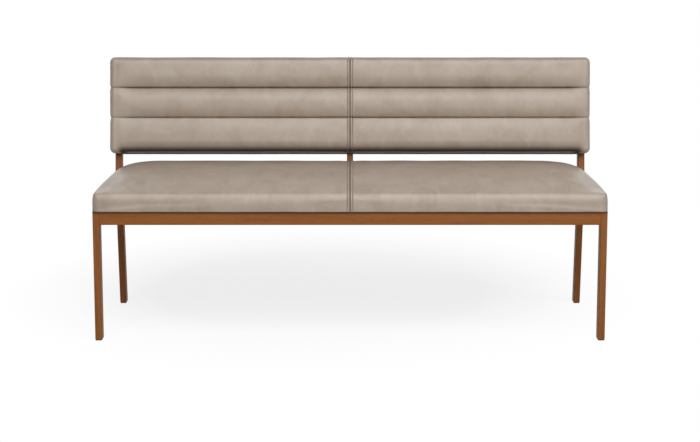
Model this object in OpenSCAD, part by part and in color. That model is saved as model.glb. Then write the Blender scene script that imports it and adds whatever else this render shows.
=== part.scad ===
// Upholstered banquette bench. A slender solid wood frame carries a boxed leather
// seat, sewn from two halves, and a raked back with three padded channels.
// Millimetres. X runs along the bench, Y from front to back, Z up.
// The origin is on the floor, in the middle of the bench's overall box.
// Inside bench() Y is counted from the front face of the front legs, and inside
// back_frame() the axes follow the rear posts, from the front of their knee.

/* [Frame] */
// Width over the outer faces of the legs
frame_w = 1524; // [1200:1:1900]
// Height of the top of the seat rails above the floor
rail_top = 390; // [340:1:440]
// Height of the seat rails and of the rails inside the back
rail_h = 40; // [34:1:50]
// Thickness of the wood that all legs, posts and rails are cut from
stock_t = 20; // [18:1:26]
// Depth of legs and posts from front to back
leg_d = 40; // [36:1:50]
// Distance from the front of the front legs to the knee of the rear legs
knee_y = 493; // [440:1:560]
// Height of the knee above the seat rails
knee_rise = 10; // [4:1:20]
// Angle of the rear legs below the knee
leg_rake = 7.3; // [4:0.1:9]
// Angle of the posts and the back above the knee
back_rake = 9; // [6:0.1:12]
// Distance from the knee to the front of the rear rail
rear_rail_set = 13; // [12:0.5:14]
// Chamfer along every wooden edge
ease = 1.2; // [0.5:0.1:2]
// Thickness of the glides under the feet
glide_t = 3; // [2:0.5:5]
// Height of the glued corner blocks
block_h = 30; // [24:1:32]
// Length of a corner block along each rail
block_l = 70; // [66:1:90]

/* [Seat] */
// How far the seat stands out past the frame
seat_overhang = 2.5; // [1:0.5:5]
// Gap between the seat and the knee of the rear legs
seat_gap = 2.5; // [1:0.5:5]
// Height of the seat's upright sides
seat_side_h = 30; // [24:1:45]
// Width and height of the roll that leads from the sides to the top
seat_roll = 22; // [16:1:32]
// Height of the crown above the roll
crown_h = 54; // [30:1:64]
// Distance from each end at which the crown is full
crown_reach = 320; // [200:1:400]
// Width of the level strip along the middle of the seat
crown_flat = 21; // [10:1:60]
// Radius of the seat's corners seen from above
seat_corner = 22; // [16:1:30]
// Thickness of the plywood deck
deck_t = 15; // [12:1:21]
// Thickness of the leather with its backing
leather_t = 2; // [1.5:0.1:2.5]
// Width of the leather turned in under the deck
turn_in = 20; // [14:1:22]

/* [Back] */
// How far the back stands out past the posts at each end
back_overhang = 13; // [10:0.5:18]
// Distance from the knee to the back's lower edge, along the posts
back_rise = 104; // [90:1:130]
// Height of the lowest channel
low_channel_h = 115.5; // [100:0.5:130]
// Height of the middle channel
mid_channel_h = 97; // [85:0.5:110]
// Height of the highest channel
top_channel_h = 98.5; // [85:0.5:110]
// Thickness of the channel filling at its crest
channel_t = 22; // [20:1:28]
// Depth of the seams between the channels
groove_d = 12; // [8:0.5:14]
// Thickness of the foam slab behind the channels
slab_t = 12; // [8:1:16]
// Thickness of the plywood panel that carries the foam
panel_t = 9; // [6:1:12]
// Thickness of the board that closes the back from behind
board_t = 3; // [2:0.5:5]
// Thickness of the foam behind that board
rear_pad_t = 5; // [4:0.5:8]
// Foam above the posts
top_pad_t = 12.5; // [8:0.5:16]
// Roll along the top and the ends of the back
back_roll = 16; // [12:1:20]
// Roll along the back's lower edge
low_roll = 22; // [16:1:26]
// Radius of the back's corners seen from the front
back_corner = 18; // [16:1:22]

/* [Fasteners] */
// Diameter of the dowels
dowel_d = 8; // [6:0.5:8]
// Length of the dowels
dowel_l = 40; // [36:1:44]
// Diameter of the wood screws
screw_d = 4; // [3:0.5:5]
// Length of the corner block screws
block_screw_l = 30; // [24:1:32]
// Length of the screws through the back panel
panel_screw_l = 25; // [20:1:32]
// Diameter of the seat bolts
bolt_d = 6; // [5:0.5:8]

/* [Hidden] */

// Colours
wood = [0.50, 0.31, 0.17];
plywood = [0.80, 0.68, 0.50];
beech = [0.82, 0.70, 0.52];
leather = [0.68, 0.61, 0.55];
foam = [0.93, 0.90, 0.78];
filling = [0.96, 0.96, 0.94];
black_cloth = [0.12, 0.12, 0.12];
steel = [0.70, 0.70, 0.72];
plastic = [0.10, 0.10, 0.10];

// Clearances and the overrun of cuts
dowel_clear = 0.05;
dowel_pocket = 1;
screw_clear = 0.1;
soft_gap = 0.3;
lap_clear = 0.2;
cut = 1;
$fn = 32;

// Places in the frame
half_frame = frame_w / 2;
inner_x = half_frame - stock_t;
rail_low = rail_top - rail_h;
knee_z = rail_top + knee_rise;
rear_rail_y = knee_y + rear_rail_set;
quarter_share = 0.25;
cross_x = half_frame / 2;
dowel_zs = [for (s = [quarter_share, 1 - quarter_share]) rail_low + s * rail_h];
dowel_r = dowel_d / 2;
leg_dowel_share = 0.75;
rail_dowel_share = 0.6;
leg_dowel_in = leg_dowel_share * stock_t;
rail_dowel_in = rail_dowel_share * stock_t;
side_dowel_tip = rear_rail_y + stock_t / 2 - dowel_r - dowel_pocket - cut;
post_wall = 6;
glide_inset = 1;

// How far foam and filling lie inside the leather's face
lining_e = leather_t + soft_gap;

// Corner blocks, with their screws and the seat bolts
block_end = 14;
block_low = rail_low + (rail_h - block_h) / 2;
block_screw_at = block_l - block_end;
block_seat = 16;
screw_r = screw_d / 2;
screw_head_r = screw_d;
screw_head_share = 0.75;
screw_head_h = screw_head_share * screw_d;
bolt_u_share = 0.4;
bolt_v_share = 0.6;
bolt_u = bolt_u_share * block_l;
bolt_v = bolt_v_share * block_l;
bolt_r = bolt_d / 2;
bolt_head_share = 1.1;
bolt_head_r = bolt_head_share * bolt_d;
bolt_head_h = 4;
nut_wall = 1.5;
nut_flange_r = 9;
nut_flange_t = 1.5;
nut_l = 9;

// Seat
seat_half = half_frame + seat_overhang;
seat_front = -seat_overhang;
seat_rear = knee_y - seat_gap;
seat_d = seat_rear - seat_front;
seat_shoulder = rail_top + seat_side_h;
side_draw = 0.8;
side_draw_share = 0.4;
lip_r = 5;
lip_share = 0.3;
seam_w = 12;
seam_dip = 3;
crown_power = 7;
front_crown_power = 2.4;
deck_low = rail_top + leather_t;
deck_inset = lip_r + soft_gap;
deck_top = deck_low + deck_t;
cloth_t = 1;
cloth_hole_clear = 2;
bolt_hole_r = bolt_r + cloth_hole_clear;

// Back, along the posts (b) and towards the sitter (c)
back_half = half_frame + back_overhang;
back_low = back_rise;
seam_low = back_low + low_channel_h;
seam_high = seam_low + mid_channel_h;
back_top = seam_high + top_channel_h;
crest_c = panel_t + slab_t + channel_t + leather_t;
slab_c = panel_t + slab_t;
rear_c = leg_d + board_t + rear_pad_t + leather_t;
post_top = back_top - lining_e - top_pad_t;
rear_edge_r = 6;
rear_edge_share = 0.3;
strip_t = 1.5;
frame_low = back_low + strip_t;
notch_d = 2.5;
notch_power = 8;
groove_power = 2.2;
crease_d = 3;
crease_w = 5;
fill_slot = 2;
arc_steps = 4;
quarter_turn = 90;

// Shares that set the mesh lines of the padded shapes
roll_shares = [0, 0.1, 0.35, 1];
crown_shares = [0.1, 0.25, 0.5, 1];
seam_shares = [0, 0.35, 1];
low_shares = [0.5, 0.8, 0.93];
mid_shares = [0.07, 0.22, 0.5, 0.78, 0.93];
top_shares = [0.07, 0.22, 0.5];
short_shares = [0.5, 0.8, 1];
screw_shares = [0.15, 0.5, 0.85];

// The point furthest back is on the rounded upper rear edge of the back
back_reach = knee_y + (rear_c - rear_edge_r) * cos(back_rake)
    + (back_top - rear_edge_r) * sin(back_rake) + rear_edge_r;
mid_y = (seat_front + back_reach) / 2;

// Frames of reference
module bench() {
    translate([0, -mid_y, 0]) children();
}

module back_frame() {
    bench() translate([0, knee_y, knee_z]) rotate([-back_rake, 0, 0]) children();
}

module both_sides() {
    children();
    mirror([1, 0, 0]) children();
}

// Wooden sections and bars with chamfered edges
function section_points(w, d) = [[ease, 0], [w - ease, 0], [w, ease], [w, d - ease],
    [w - ease, d], [ease, d], [0, d - ease], [0, ease]];

module section(w, d) {
    polygon(section_points(w, d));
}

module bar_x(x0, x1, y, z, d, h) {
    translate([x0, y, z]) rotate([90, 0, 90]) linear_extrude(x1 - x0) section(d, h);
}

module bar_y(y0, y1, x, z, w, h) {
    translate([x, y1, z]) rotate([90, 0, 0]) linear_extrude(y1 - y0) section(w, h);
}

module pin_x(x0, x1, y, z, r) {
    translate([x0, y, z]) rotate([0, 90, 0]) cylinder(h = x1 - x0, r = r);
}

module pin_y(y0, y1, x, z, r) {
    translate([x, y0, z]) rotate([-90, 0, 0]) cylinder(h = y1 - y0, r = r);
}

// Everything above the level z = 0 of where it stands
module upper_space() {
    span = 2 * frame_w;
    translate([-span / 2, -span / 2, 0]) cube([span, span, span]);
}

// The front face of the rear legs, and of the middle post, below the knee
function leg_front(z) = knee_y + (knee_z - z) * tan(leg_rake);
function post_front(z) = knee_y - (knee_z - z) * tan(back_rake);

// Dowels of the seat frame. grow and deep turn a dowel into the bore that takes it.
module front_dowels(grow = 0, deep = 0) {
    for (z = dowel_zs, y = [stock_t / 2, rear_rail_y + stock_t / 2])
        pin_x(inner_x + leg_dowel_in - dowel_l - deep, inner_x + leg_dowel_in + deep, y, z,
            dowel_r + grow);
}

module side_dowels(grow = 0, deep = 0) {
    side_x = half_frame - stock_t / 2;
    for (z = dowel_zs) {
        pin_y(leg_d - dowel_l / 2 - deep, leg_d + dowel_l / 2 + deep, side_x, z, dowel_r + grow);
        pin_y(side_dowel_tip - dowel_l - deep, side_dowel_tip + deep, side_x, z,
            dowel_r + grow);
    }
}

module cross_dowels(x, rear_tip, grow = 0, deep = 0) {
    for (z = dowel_zs) {
        pin_y(stock_t - rail_dowel_in - deep, stock_t - rail_dowel_in + dowel_l + deep, x, z,
            dowel_r + grow);
        pin_y(rear_tip - dowel_l - deep, rear_tip + deep, x, z, dowel_r + grow);
    }
}

module outer_cross_dowels(grow = 0, deep = 0) {
    for (x = [-cross_x, cross_x])
        cross_dowels(x, rear_rail_y + rail_dowel_in, grow, deep);
}

module middle_cross_dowels(grow = 0, deep = 0) {
    cross_dowels(0, rear_rail_y - post_wall, grow, deep);
}

// Dowels of the rails inside the back, in the posts' frame
back_rail_lows = [frame_low, post_top - rail_h];

module back_dowel_set(grow = 0, deep = 0) {
    for (low = back_rail_lows, s = [quarter_share, 1 - quarter_share]) {
        z = low + s * rail_h;
        pin_x(-dowel_l / 2 - deep, dowel_l / 2 + deep, stock_t / 2, z, dowel_r + grow);
        both_sides()
            pin_x(inner_x + leg_dowel_in - dowel_l - deep, inner_x + leg_dowel_in + deep,
                stock_t / 2, z, dowel_r + grow);
    }
}

// Screws through the back panel into the posts, in the posts' frame
panel_screw_zs = [for (s = screw_shares)
    frame_low + rail_h + s * (post_top - frame_low - 2 * rail_h)];

module panel_screw_set(grow = 0, deep = 0) {
    for (x = [-half_frame + stock_t / 2, 0, half_frame - stock_t / 2], z = panel_screw_zs)
        translate([x, -panel_t, z]) rotate([-90, 0, 0]) {
            cylinder(h = panel_screw_l + deep, r = screw_r + grow);
            cylinder(h = screw_head_r - screw_r, r1 = screw_head_r + grow, r2 = screw_r + grow);
        }
}

// The screw through the rear rail into the middle post
module post_screw_shape(grow = 0, deep = 0) {
    rear_face = rear_rail_y + stock_t;
    tip = post_front(rail_low + rail_h / 2) + post_wall;
    translate([0, rear_face, rail_low + rail_h / 2]) rotate([90, 0, 0]) {
        cylinder(h = rear_face - tip + deep, r = screw_r + grow);
        cylinder(h = screw_head_r - screw_r, r1 = screw_head_r + grow, r2 = screw_r + grow);
    }
}

// Legs and posts
module front_leg() {
    color(wood) bench() difference() {
        translate([inner_x, 0, glide_t])
            linear_extrude(rail_top - glide_t) section(stock_t, leg_d);
        front_dowels(dowel_clear, dowel_pocket);
        side_dowels(dowel_clear, dowel_pocket);
        at_front_corner() block_screws(screw_clear, cut);
    }
}

module post_blank(x) {
    translate([x, 0, -leg_d]) linear_extrude(post_top + leg_d) section(stock_t, leg_d);
}

// The rear leg bends at the knee. Its section has one outline at the top of the post, one
// on the mitre of the bend and one at the foot. A point lies v behind the front face.
mitre = [cos(back_rake) + cos(leg_rake), sin(leg_rake) - sin(back_rake)]
    / (1 + cos(back_rake + leg_rake));
function at_knee(v) = [knee_y, knee_z] + v * mitre;
function at_post_top(v) = [knee_y + v * cos(back_rake) + post_top * sin(back_rake),
    knee_z - v * sin(back_rake) + post_top * cos(back_rake)];
function at_foot(v) = let (p = at_knee(v))
    [p[0] + (p[1] - glide_t) * tan(leg_rake), glide_t];

module leg_blank() {
    outline = section_points(stock_t, leg_d);
    sides = len(outline);
    function ring(place) = [for (p = outline) let (q = place(p[1])) [inner_x + p[0], q[0], q[1]]];
    polyhedron(points = concat(ring(function(v) at_foot(v)), ring(function(v) at_knee(v)),
            ring(function(v) at_post_top(v))),
        faces = concat([[for (n = [0:sides - 1]) n]],
            [for (level = [0, sides], n = [0:sides - 1]) let (m = (n + 1) % sides)
                [level + n, level + sides + n, level + sides + m, level + m]],
            [[for (n = [sides - 1:-1:0]) 2 * sides + n]]));
}

module rear_leg() {
    color(wood) difference() {
        bench() leg_blank();
        bench() front_dowels(dowel_clear, dowel_pocket);
        bench() side_dowels(dowel_clear, dowel_pocket);
        back_frame() back_dowel_set(dowel_clear, dowel_pocket);
        back_frame() panel_screw_set(screw_clear, cut);
    }
}

module front_leg_left() { mirror([1, 0, 0]) front_leg(); }
module front_leg_right() { front_leg(); }
module rear_leg_left() { mirror([1, 0, 0]) rear_leg(); }
module rear_leg_right() { rear_leg(); }

// The middle post has no leg: it is lapped over the rear rail and screwed to it
module middle_post() {
    color(wood) difference() {
        back_frame() post_blank(-stock_t / 2);
        bench() translate([0, 0, rail_low]) mirror([0, 0, 1]) upper_space();
        bench() translate([-stock_t, rear_rail_y, rail_low - cut])
            cube([2 * stock_t, 2 * leg_d, rail_h + cut + lap_clear]);
        bench() middle_cross_dowels(dowel_clear, dowel_pocket);
        bench() post_screw_shape(screw_clear, cut);
        back_frame() back_dowel_set(dowel_clear, dowel_pocket);
        back_frame() panel_screw_set(screw_clear, cut);
    }
}

// Rails of the seat frame
module front_rail() {
    color(wood) bench() difference() {
        bar_x(-inner_x, inner_x, 0, rail_low, stock_t, rail_h);
        both_sides() front_dowels(dowel_clear, dowel_pocket);
        outer_cross_dowels(dowel_clear, dowel_pocket);
        middle_cross_dowels(dowel_clear, dowel_pocket);
        both_sides() at_front_corner() block_screws(screw_clear, cut);
    }
}

module rear_rail() {
    color(wood) bench() difference() {
        bar_x(-inner_x, inner_x, rear_rail_y, rail_low, stock_t, rail_h);
        both_sides() front_dowels(dowel_clear, dowel_pocket);
        outer_cross_dowels(dowel_clear, dowel_pocket);
        post_screw_shape(screw_clear, cut);
        both_sides() at_rear_corner() block_screws(screw_clear, cut);
    }
}

module side_rail() {
    color(wood) bench() difference() {
        bar_y(leg_d, knee_y + leg_d, inner_x, rail_low, stock_t, rail_h);
        translate([0, knee_y, knee_z]) rotate([leg_rake - 90, 0, 0]) upper_space();
        side_dowels(dowel_clear, dowel_pocket);
        at_front_corner() block_screws(screw_clear, cut);
        at_rear_corner() block_screws(screw_clear, cut);
    }
}

module side_rail_left() { mirror([1, 0, 0]) side_rail(); }
module side_rail_right() { side_rail(); }

module cross_rail(x) {
    color(wood) bench() difference() {
        bar_y(stock_t, rear_rail_y, x - stock_t / 2, rail_low, stock_t, rail_h);
        outer_cross_dowels(dowel_clear, dowel_pocket);
    }
}

module cross_rail_left() { cross_rail(-cross_x); }
module cross_rail_right() { cross_rail(cross_x); }

// The middle rail ends at the sloping face of the middle post
module cross_rail_middle() {
    color(wood) bench() difference() {
        bar_y(stock_t, rear_rail_y, -stock_t / 2, rail_low, stock_t, rail_h);
        translate([0, knee_y, knee_z]) rotate([-back_rake - 90, 0, 0]) upper_space();
        middle_cross_dowels(dowel_clear, dowel_pocket);
    }
}

// Corner blocks. In a corner u runs along the front or rear rail, v along the side rail.
module at_front_corner() {
    translate([inner_x, stock_t, 0]) mirror([1, 0, 0]) children();
}

module at_rear_corner() {
    translate([inner_x, rear_rail_y, 0]) rotate([0, 0, 180]) children();
}

module at_corners() {
    both_sides() {
        at_front_corner() children();
        at_rear_corner() children();
    }
}

module block_screws(grow = 0, deep = 0) {
    z = block_low + block_h / 2;
    pin_y(block_seat - block_screw_l - deep, block_seat, block_screw_at, z, screw_r + grow);
    pin_x(block_seat - block_screw_l - deep, block_seat, block_screw_at, z, screw_r + grow);
    pin_y(block_seat, block_seat + screw_head_h + deep * block_l, block_screw_at, z,
        screw_head_r + grow);
    pin_x(block_seat, block_seat + screw_head_h + deep * block_l, block_screw_at, z,
        screw_head_r + grow);
}

module corner_blocks() {
    color(beech) bench() at_corners() difference() {
        translate([0, 0, block_low]) linear_extrude(block_h)
            polygon([[0, 0], [block_l, 0], [block_l, block_end], [block_end, block_l],
                [0, block_l]]);
        block_screws(screw_clear, cut);
        translate([bolt_u, bolt_v, block_low - cut])
            cylinder(h = block_h + 2 * cut, r = bolt_r + screw_clear);
    }
}

module corner_block_screws() {
    color(steel) bench() at_corners() block_screws();
}

module frame_dowels() {
    color(beech) bench() {
        both_sides() {
            front_dowels();
            side_dowels();
        }
        outer_cross_dowels();
        middle_cross_dowels();
    }
}

module middle_post_screw() {
    color(steel) bench() post_screw_shape();
}

module glide(y) {
    translate([inner_x + glide_inset, y + glide_inset, 0])
        linear_extrude(glide_t) section(stock_t - 2 * glide_inset, leg_d - 2 * glide_inset);
}

module foot_glides() {
    color(plastic) bench() both_sides() {
        glide(0);
        glide(leg_front(glide_t));
    }
}

// Padded shapes are drawn in pad space: a runs along the bench, b across the pad and c
// out of its face. A grid of points covers the face and rows of points lead from the
// grid's border round the edges.
function roll(d, r) = sqrt(1 - pow(1 - min(max(d, 0), r) / r, 2));
function crown(d, reach, power) = 1 - pow(1 - min(d, reach) / reach, power);
function corner_run(d, r) = d >= r ? 0 : r - sqrt(r * r - pow(r - d, 2));
function seam_drop(a) = seam_dip * pow(max(0, 1 - abs(a) / seam_w), 2);
function reversed(list) = [for (n = [len(list) - 1:-1:0]) list[n]];
function quad(p, q, r, s) = [[p, q, r], [p, r, s]];
function grid_faces(nx, ny, first, flip) = [for (j = [0:ny - 1], i = [0:nx - 1])
    let (p = first + i + (nx + 1) * j, q = p + nx + 1)
        each flip ? quad(p, p + 1, q + 1, q) : quad(p, q, q + 1, p + 1)];

// A sewn half: a face, its edges and the turned-in margin, open at the seam and behind.
// face and lining hold (nx + 1)(ny + 1) points each, the rows hold one list per row.
module half_shell(nx, ny, face, rows, lining, lining_rows) {
    path = concat([for (i = [0:nx]) i], [for (j = [1:ny - 1]) nx + (nx + 1) * j],
        [for (i = [nx:-1:0]) i + (nx + 1) * ny]);
    steps = len(path);
    last = len(rows);
    layer = len(face) + last * steps;
    at = function(side, row, s) side * layer
        + (row == 0 ? path[s] : len(face) + (row - 1) * steps + s);
    edge = function(side) concat([for (r = [last:-1:1]) at(side, r, 0)],
        [for (j = [0:ny]) side * layer + (nx + 1) * j],
        [for (r = [1:last]) at(side, r, steps - 1)]);
    outer_edge = edge(0);
    inner_edge = edge(1);
    polyhedron(points = concat(face, [for (r = rows) each r], lining,
            [for (r = lining_rows) each r]),
        faces = concat(
            grid_faces(nx, ny, 0, false),
            grid_faces(nx, ny, layer, true),
            [for (r = [0:last - 1], s = [0:steps - 2])
                each quad(at(0, r, s), at(0, r, s + 1), at(0, r + 1, s + 1), at(0, r + 1, s))],
            [for (r = [0:last - 1], s = [0:steps - 2])
                each quad(at(1, r, s), at(1, r + 1, s), at(1, r + 1, s + 1), at(1, r, s + 1))],
            [for (s = [0:steps - 2])
                each quad(at(0, last, s), at(0, last, s + 1), at(1, last, s + 1),
                    at(1, last, s))],
            [for (m = [0:len(outer_edge) - 2])
                each quad(outer_edge[m], inner_edge[m], inner_edge[m + 1],
                    outer_edge[m + 1])]));
}

// A block of foam or filling with a shaped face and a flat bottom at the level c = foot
module pad_block(nx, ny, face, foot) {
    path = concat([for (i = [0:nx]) i], [for (j = [1:ny]) nx + (nx + 1) * j],
        [for (i = [nx - 1:-1:0]) i + (nx + 1) * ny], [for (j = [ny - 1:-1:1]) (nx + 1) * j]);
    steps = len(path);
    count = len(face);
    low = [for (p = path) [face[p][0], face[p][1], foot]];
    centre = [0, (face[0][1] + face[count - 1][1]) / 2, foot];
    polyhedron(points = concat(face, low, [centre]),
        faces = concat(
            grid_faces(nx, ny, 0, false),
            [for (s = [0:steps - 1]) let (t = (s + 1) % steps)
                each quad(path[s], path[t], count + t, count + s)],
            [for (s = [0:steps - 1]) [count + s, count + (s + 1) % steps, count + steps]]));
}

// Mesh lines of a pad: along a they are counted from the seam and from the end
function end_lines(roll_r, reach) = concat([for (s = roll_shares) s * roll_r],
    [for (s = crown_shares) roll_r + s * (reach - roll_r)]);
seam_lines = [for (s = seam_shares) s * seam_w];
// A row of points from the seam to one end, with its mirror image before it
function both_halves(row) = concat(
    [for (i = [len(row) - 1:-1:1]) [-row[i][0], row[i][1], row[i][2]]], row);

// The seat's face
seat_end_lines = end_lines(seat_roll, crown_reach);
seat_reach = (seat_d - crown_flat) / 2;
seat_edge_lines = end_lines(seat_roll, seat_reach);
seat_nx = len(seam_lines) + len(seat_end_lines) - 1;
seat_ny = 2 * len(seat_edge_lines) - 1;
seat_steps = concat(seat_edge_lines, reversed(seat_edge_lines));

// A margin e draws the lines in, less and less towards the middle of the seat
function seat_margin(j, e) = seat_steps[j] + e * (1 - 2 * seat_steps[j] / seat_d);
function seat_b(j, e) = j < len(seat_edge_lines) ? seat_front + seat_margin(j, e)
    : seat_rear - seat_margin(j, e);
function seat_end(j) = corner_run(seat_steps[j], seat_corner);
function seat_from_end(i, j) = i < len(seam_lines)
    ? seat_half - seat_end(j) - seam_lines[i] : seat_end_lines[seat_nx - i];
function seat_a(i, j, e) = i < len(seam_lines) ? seam_lines[i]
    : seat_half - e - seat_end(j) - seat_end_lines[seat_nx - i];
// The crown rises gently from the front edge, and faster from the ends and the rear
function seat_c(i, j, e) = let (
        da = seat_from_end(i, j), db = seat_steps[j],
        power = j < len(seat_edge_lines) ? front_crown_power : crown_power)
    seat_shoulder - e + seat_roll * roll(da, seat_roll) * roll(db, seat_roll)
    + crown_h * crown(da, crown_reach, crown_power) * crown(db, seat_reach, power)
    - seam_drop(seat_a(i, j, e));
function seat_point(i, j, e) = [seat_a(i, j, e), seat_b(j, e), seat_c(i, j, e)];
function seat_face(e) = [for (j = [0:seat_ny], i = [0:seat_nx]) seat_point(i, j, e)];
function seat_ring(e, c) = concat(
    [for (i = [0:seat_nx]) [seat_a(i, 0, e), seat_b(0, e), c]],
    [for (j = [1:seat_ny - 1]) [seat_a(seat_nx, j, e), seat_b(j, e), c]],
    [for (i = [seat_nx:-1:0]) [seat_a(i, seat_ny, e), seat_b(seat_ny, e), c]]);
// The upright side, drawn in a little towards its foot, then the lip and the turn-in
function seat_rows(e) = [
    seat_ring(side_draw * side_draw_share + e, rail_top + (seat_side_h + lip_r) / 2),
    seat_ring(side_draw + e, rail_top + lip_r),
    seat_ring(side_draw + lip_share * lip_r + (1 - lip_share) * e,
        rail_top + lip_share * lip_r + (1 - lip_share) * e),
    seat_ring(side_draw + lip_r, rail_top + e),
    seat_ring(turn_in, rail_top + e)];

module seat_cover() {
    color(leather) bench()
        half_shell(seat_nx, seat_ny, seat_face(0), seat_rows(0), seat_face(leather_t),
            seat_rows(leather_t));
}

module seat_cover_left() { mirror([1, 0, 0]) seat_cover(); }
module seat_cover_right() { seat_cover(); }

module seat_foam() {
    full = [for (j = [0:seat_ny])
        each both_halves([for (i = [0:seat_nx]) seat_point(i, j, lining_e)])];
    color(foam) bench() pad_block(2 * seat_nx, seat_ny, full, deck_top);
}

// Where the seat bolts stand
module at_bolts() {
    bench() at_corners() translate([bolt_u, bolt_v, 0]) children();
}

module seat_deck() {
    color(plywood) difference() {
        bench() translate([-seat_half + deck_inset, seat_front + deck_inset, deck_low])
            cube([2 * (seat_half - deck_inset), seat_d - 2 * deck_inset, deck_t]);
        bench() both_sides() for (y = [seat_front, seat_rear])
            translate([seat_half, y, deck_low - cut]) rotate([0, 0, 45])
                cube([seat_corner, seat_corner, 2 * (deck_t + cut)], center = true);
        at_bolts() {
            translate([0, 0, deck_low - cut])
                cylinder(h = deck_t + 2 * cut, r = bolt_r + nut_wall + 2 * screw_clear);
            translate([0, 0, deck_top - nut_flange_t])
                cylinder(h = nut_flange_t + cut, r = nut_flange_r + screw_clear);
        }
    }
}

module seat_tee_nuts() {
    color(steel) at_bolts() difference() {
        union() {
            translate([0, 0, deck_top - nut_l]) cylinder(h = nut_l, r = bolt_r + nut_wall);
            translate([0, 0, deck_top - nut_flange_t])
                cylinder(h = nut_flange_t, r = nut_flange_r);
        }
        translate([0, 0, deck_top - nut_l - cut])
            cylinder(h = nut_l + 2 * cut, r = bolt_r + screw_clear);
    }
}

module seat_bolts() {
    color(steel) at_bolts() {
        translate([0, 0, block_low])
            cylinder(h = deck_top - nut_flange_t - block_low, r = bolt_r);
        translate([0, 0, block_low - bolt_head_h]) cylinder(h = bolt_head_h, r = bolt_head_r);
    }
}

module seat_dust_cover() {
    inset = turn_in + cut;
    color(black_cloth) difference() {
        bench() translate([-seat_half + inset, seat_front + inset, deck_low - cloth_t])
            cube([2 * (seat_half - inset), seat_d - 2 * inset, cloth_t]);
        at_bolts() translate([0, 0, deck_low - cloth_t - cut])
            cylinder(h = cloth_t + 2 * cut, r = bolt_hole_r);
    }
}

// Rails, panel and board inside the back
module back_rail(low) {
    color(beech) back_frame() difference() {
        translate([stock_t / 2, 0, low]) cube([inner_x - stock_t / 2, stock_t, rail_h]);
        back_dowel_set(dowel_clear, dowel_pocket);
    }
}

module back_bottom_rail_left() { mirror([1, 0, 0]) back_rail(back_rail_lows[0]); }
module back_bottom_rail_right() { back_rail(back_rail_lows[0]); }
module back_top_rail_left() { mirror([1, 0, 0]) back_rail(back_rail_lows[1]); }
module back_top_rail_right() { back_rail(back_rail_lows[1]); }

module back_dowels() {
    color(beech) back_frame() back_dowel_set();
}

module back_sheet(front, t, half, low, top) {
    translate([-half, front, low]) cube([2 * half, t, top - low]);
}

module back_panel() {
    color(plywood) back_frame() difference() {
        back_sheet(-panel_t, panel_t, half_frame, back_low + lining_e, post_top);
        panel_screw_set(screw_clear, cut);
    }
}

module back_panel_screws() {
    color(steel) back_frame() panel_screw_set();
}

module back_rear_board() {
    color(plywood) back_frame() back_sheet(leg_d, board_t, half_frame, frame_low, post_top);
}

module back_rear_foam() {
    color(foam) back_frame()
        back_sheet(leg_d + board_t, rear_pad_t, half_frame, frame_low, post_top);
}

module back_edge_foam() {
    depth = panel_t + leg_d + board_t;
    end_t = back_overhang - lining_e - notch_d;
    color(foam) back_frame() {
        translate([-back_half + back_corner, -panel_t, post_top])
            cube([2 * (back_half - back_corner), depth, top_pad_t]);
        both_sides() translate([half_frame, -panel_t, back_low + back_corner])
            cube([end_t, depth, back_top - back_low - 2 * back_corner]);
    }
}

// Outline of the back seen from the front, drawn in by e, with its corners as arcs
function corner_arc(a, b, r, from) = [for (n = [0:arc_steps])
    let (turn = from + quarter_turn * n / arc_steps) [a + r * cos(turn), b + r * sin(turn)]];
function back_outline(e, low_e) = let (r = back_corner - e, a = back_half - back_corner)
    concat(corner_arc(-a, back_top - back_corner, r, quarter_turn),
        [[-back_half + e, back_low + low_e], [back_half - e, back_low + low_e]],
        corner_arc(a, back_top - back_corner, r, 0));

module back_slab_foam() {
    color(foam) back_frame() difference() {
        translate([0, -panel_t, 0]) rotate([90, 0, 0])
            linear_extrude(slab_t) polygon(back_outline(lining_e + notch_d, lining_e));
        both_sides() translate([back_half, 0, back_low]) rotate([0, 45, 0])
            cube([back_corner, 2 * crest_c, back_corner], center = true);
    }
}

module back_rear_cover() {
    color(leather) back_frame() translate([0, rear_c, 0]) rotate([90, 0, 0])
        linear_extrude(leather_t) polygon(back_outline(rear_edge_r + soft_gap, 0));
}

// Black cloth under the back, cut out round the posts
module back_dust_strip() {
    color(black_cloth) back_frame() difference() {
        back_sheet(0, leg_d + board_t + rear_pad_t, half_frame, back_low, frame_low);
        for (x = [-half_frame, -stock_t / 2, inner_x])
            translate([x - soft_gap, -soft_gap, back_low - cut])
                cube([stock_t + 2 * soft_gap, leg_d + 2 * soft_gap, strip_t + 2 * cut]);
    }
}

// The back's face. Each channel swells between its seams, the seams are drawn in.
function seam_share(b) = b < seam_low ? (seam_low - b) / low_channel_h
    : b > seam_high ? (b - seam_high) / top_channel_h
    : min(b - seam_low, seam_high - b) / mid_channel_h;
function seam_distance(b) = min(abs(b - seam_low), abs(b - seam_high));
function groove(b) = groove_d * pow(max(0, 1 - 2 * seam_share(b)), groove_power)
    + crease_d * pow(max(0, 1 - seam_distance(b) / crease_w), 2);
function notch(b) = notch_d * pow(max(0, 1 - 2 * seam_share(b)), notch_power);
function back_end(b, e, drawn) = let (d = min(b - back_low, back_top - b) - e)
    corner_run(max(0, d), back_corner) + drawn * notch(b);
function edge_roll(b, e) = roll(b - back_low - e, low_roll) * roll(back_top - e - b, back_roll);
function back_c(da, a, b, e) = crest_c - e - back_roll
    + (back_roll - groove(b)) * roll(da, back_roll) * edge_roll(b, e) - seam_drop(a);

back_nx = len(seam_lines) + len(roll_shares) - 1;
back_end_lines = [for (s = roll_shares) s * back_roll];
// The ends are drawn in at the seams, fully where drawn is 1 and not at all where it is 0
function back_a(i, b, e, drawn) = i < len(seam_lines) ? seam_lines[i]
    : back_half - e - back_end(b, e, drawn) - back_end_lines[back_nx - i];
function back_point(i, b, e) = let (a = back_a(i, b, e, 1))
    [a, b, back_c(back_half - e - back_end(b, e, 1) - a, a, b, e)];

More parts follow.
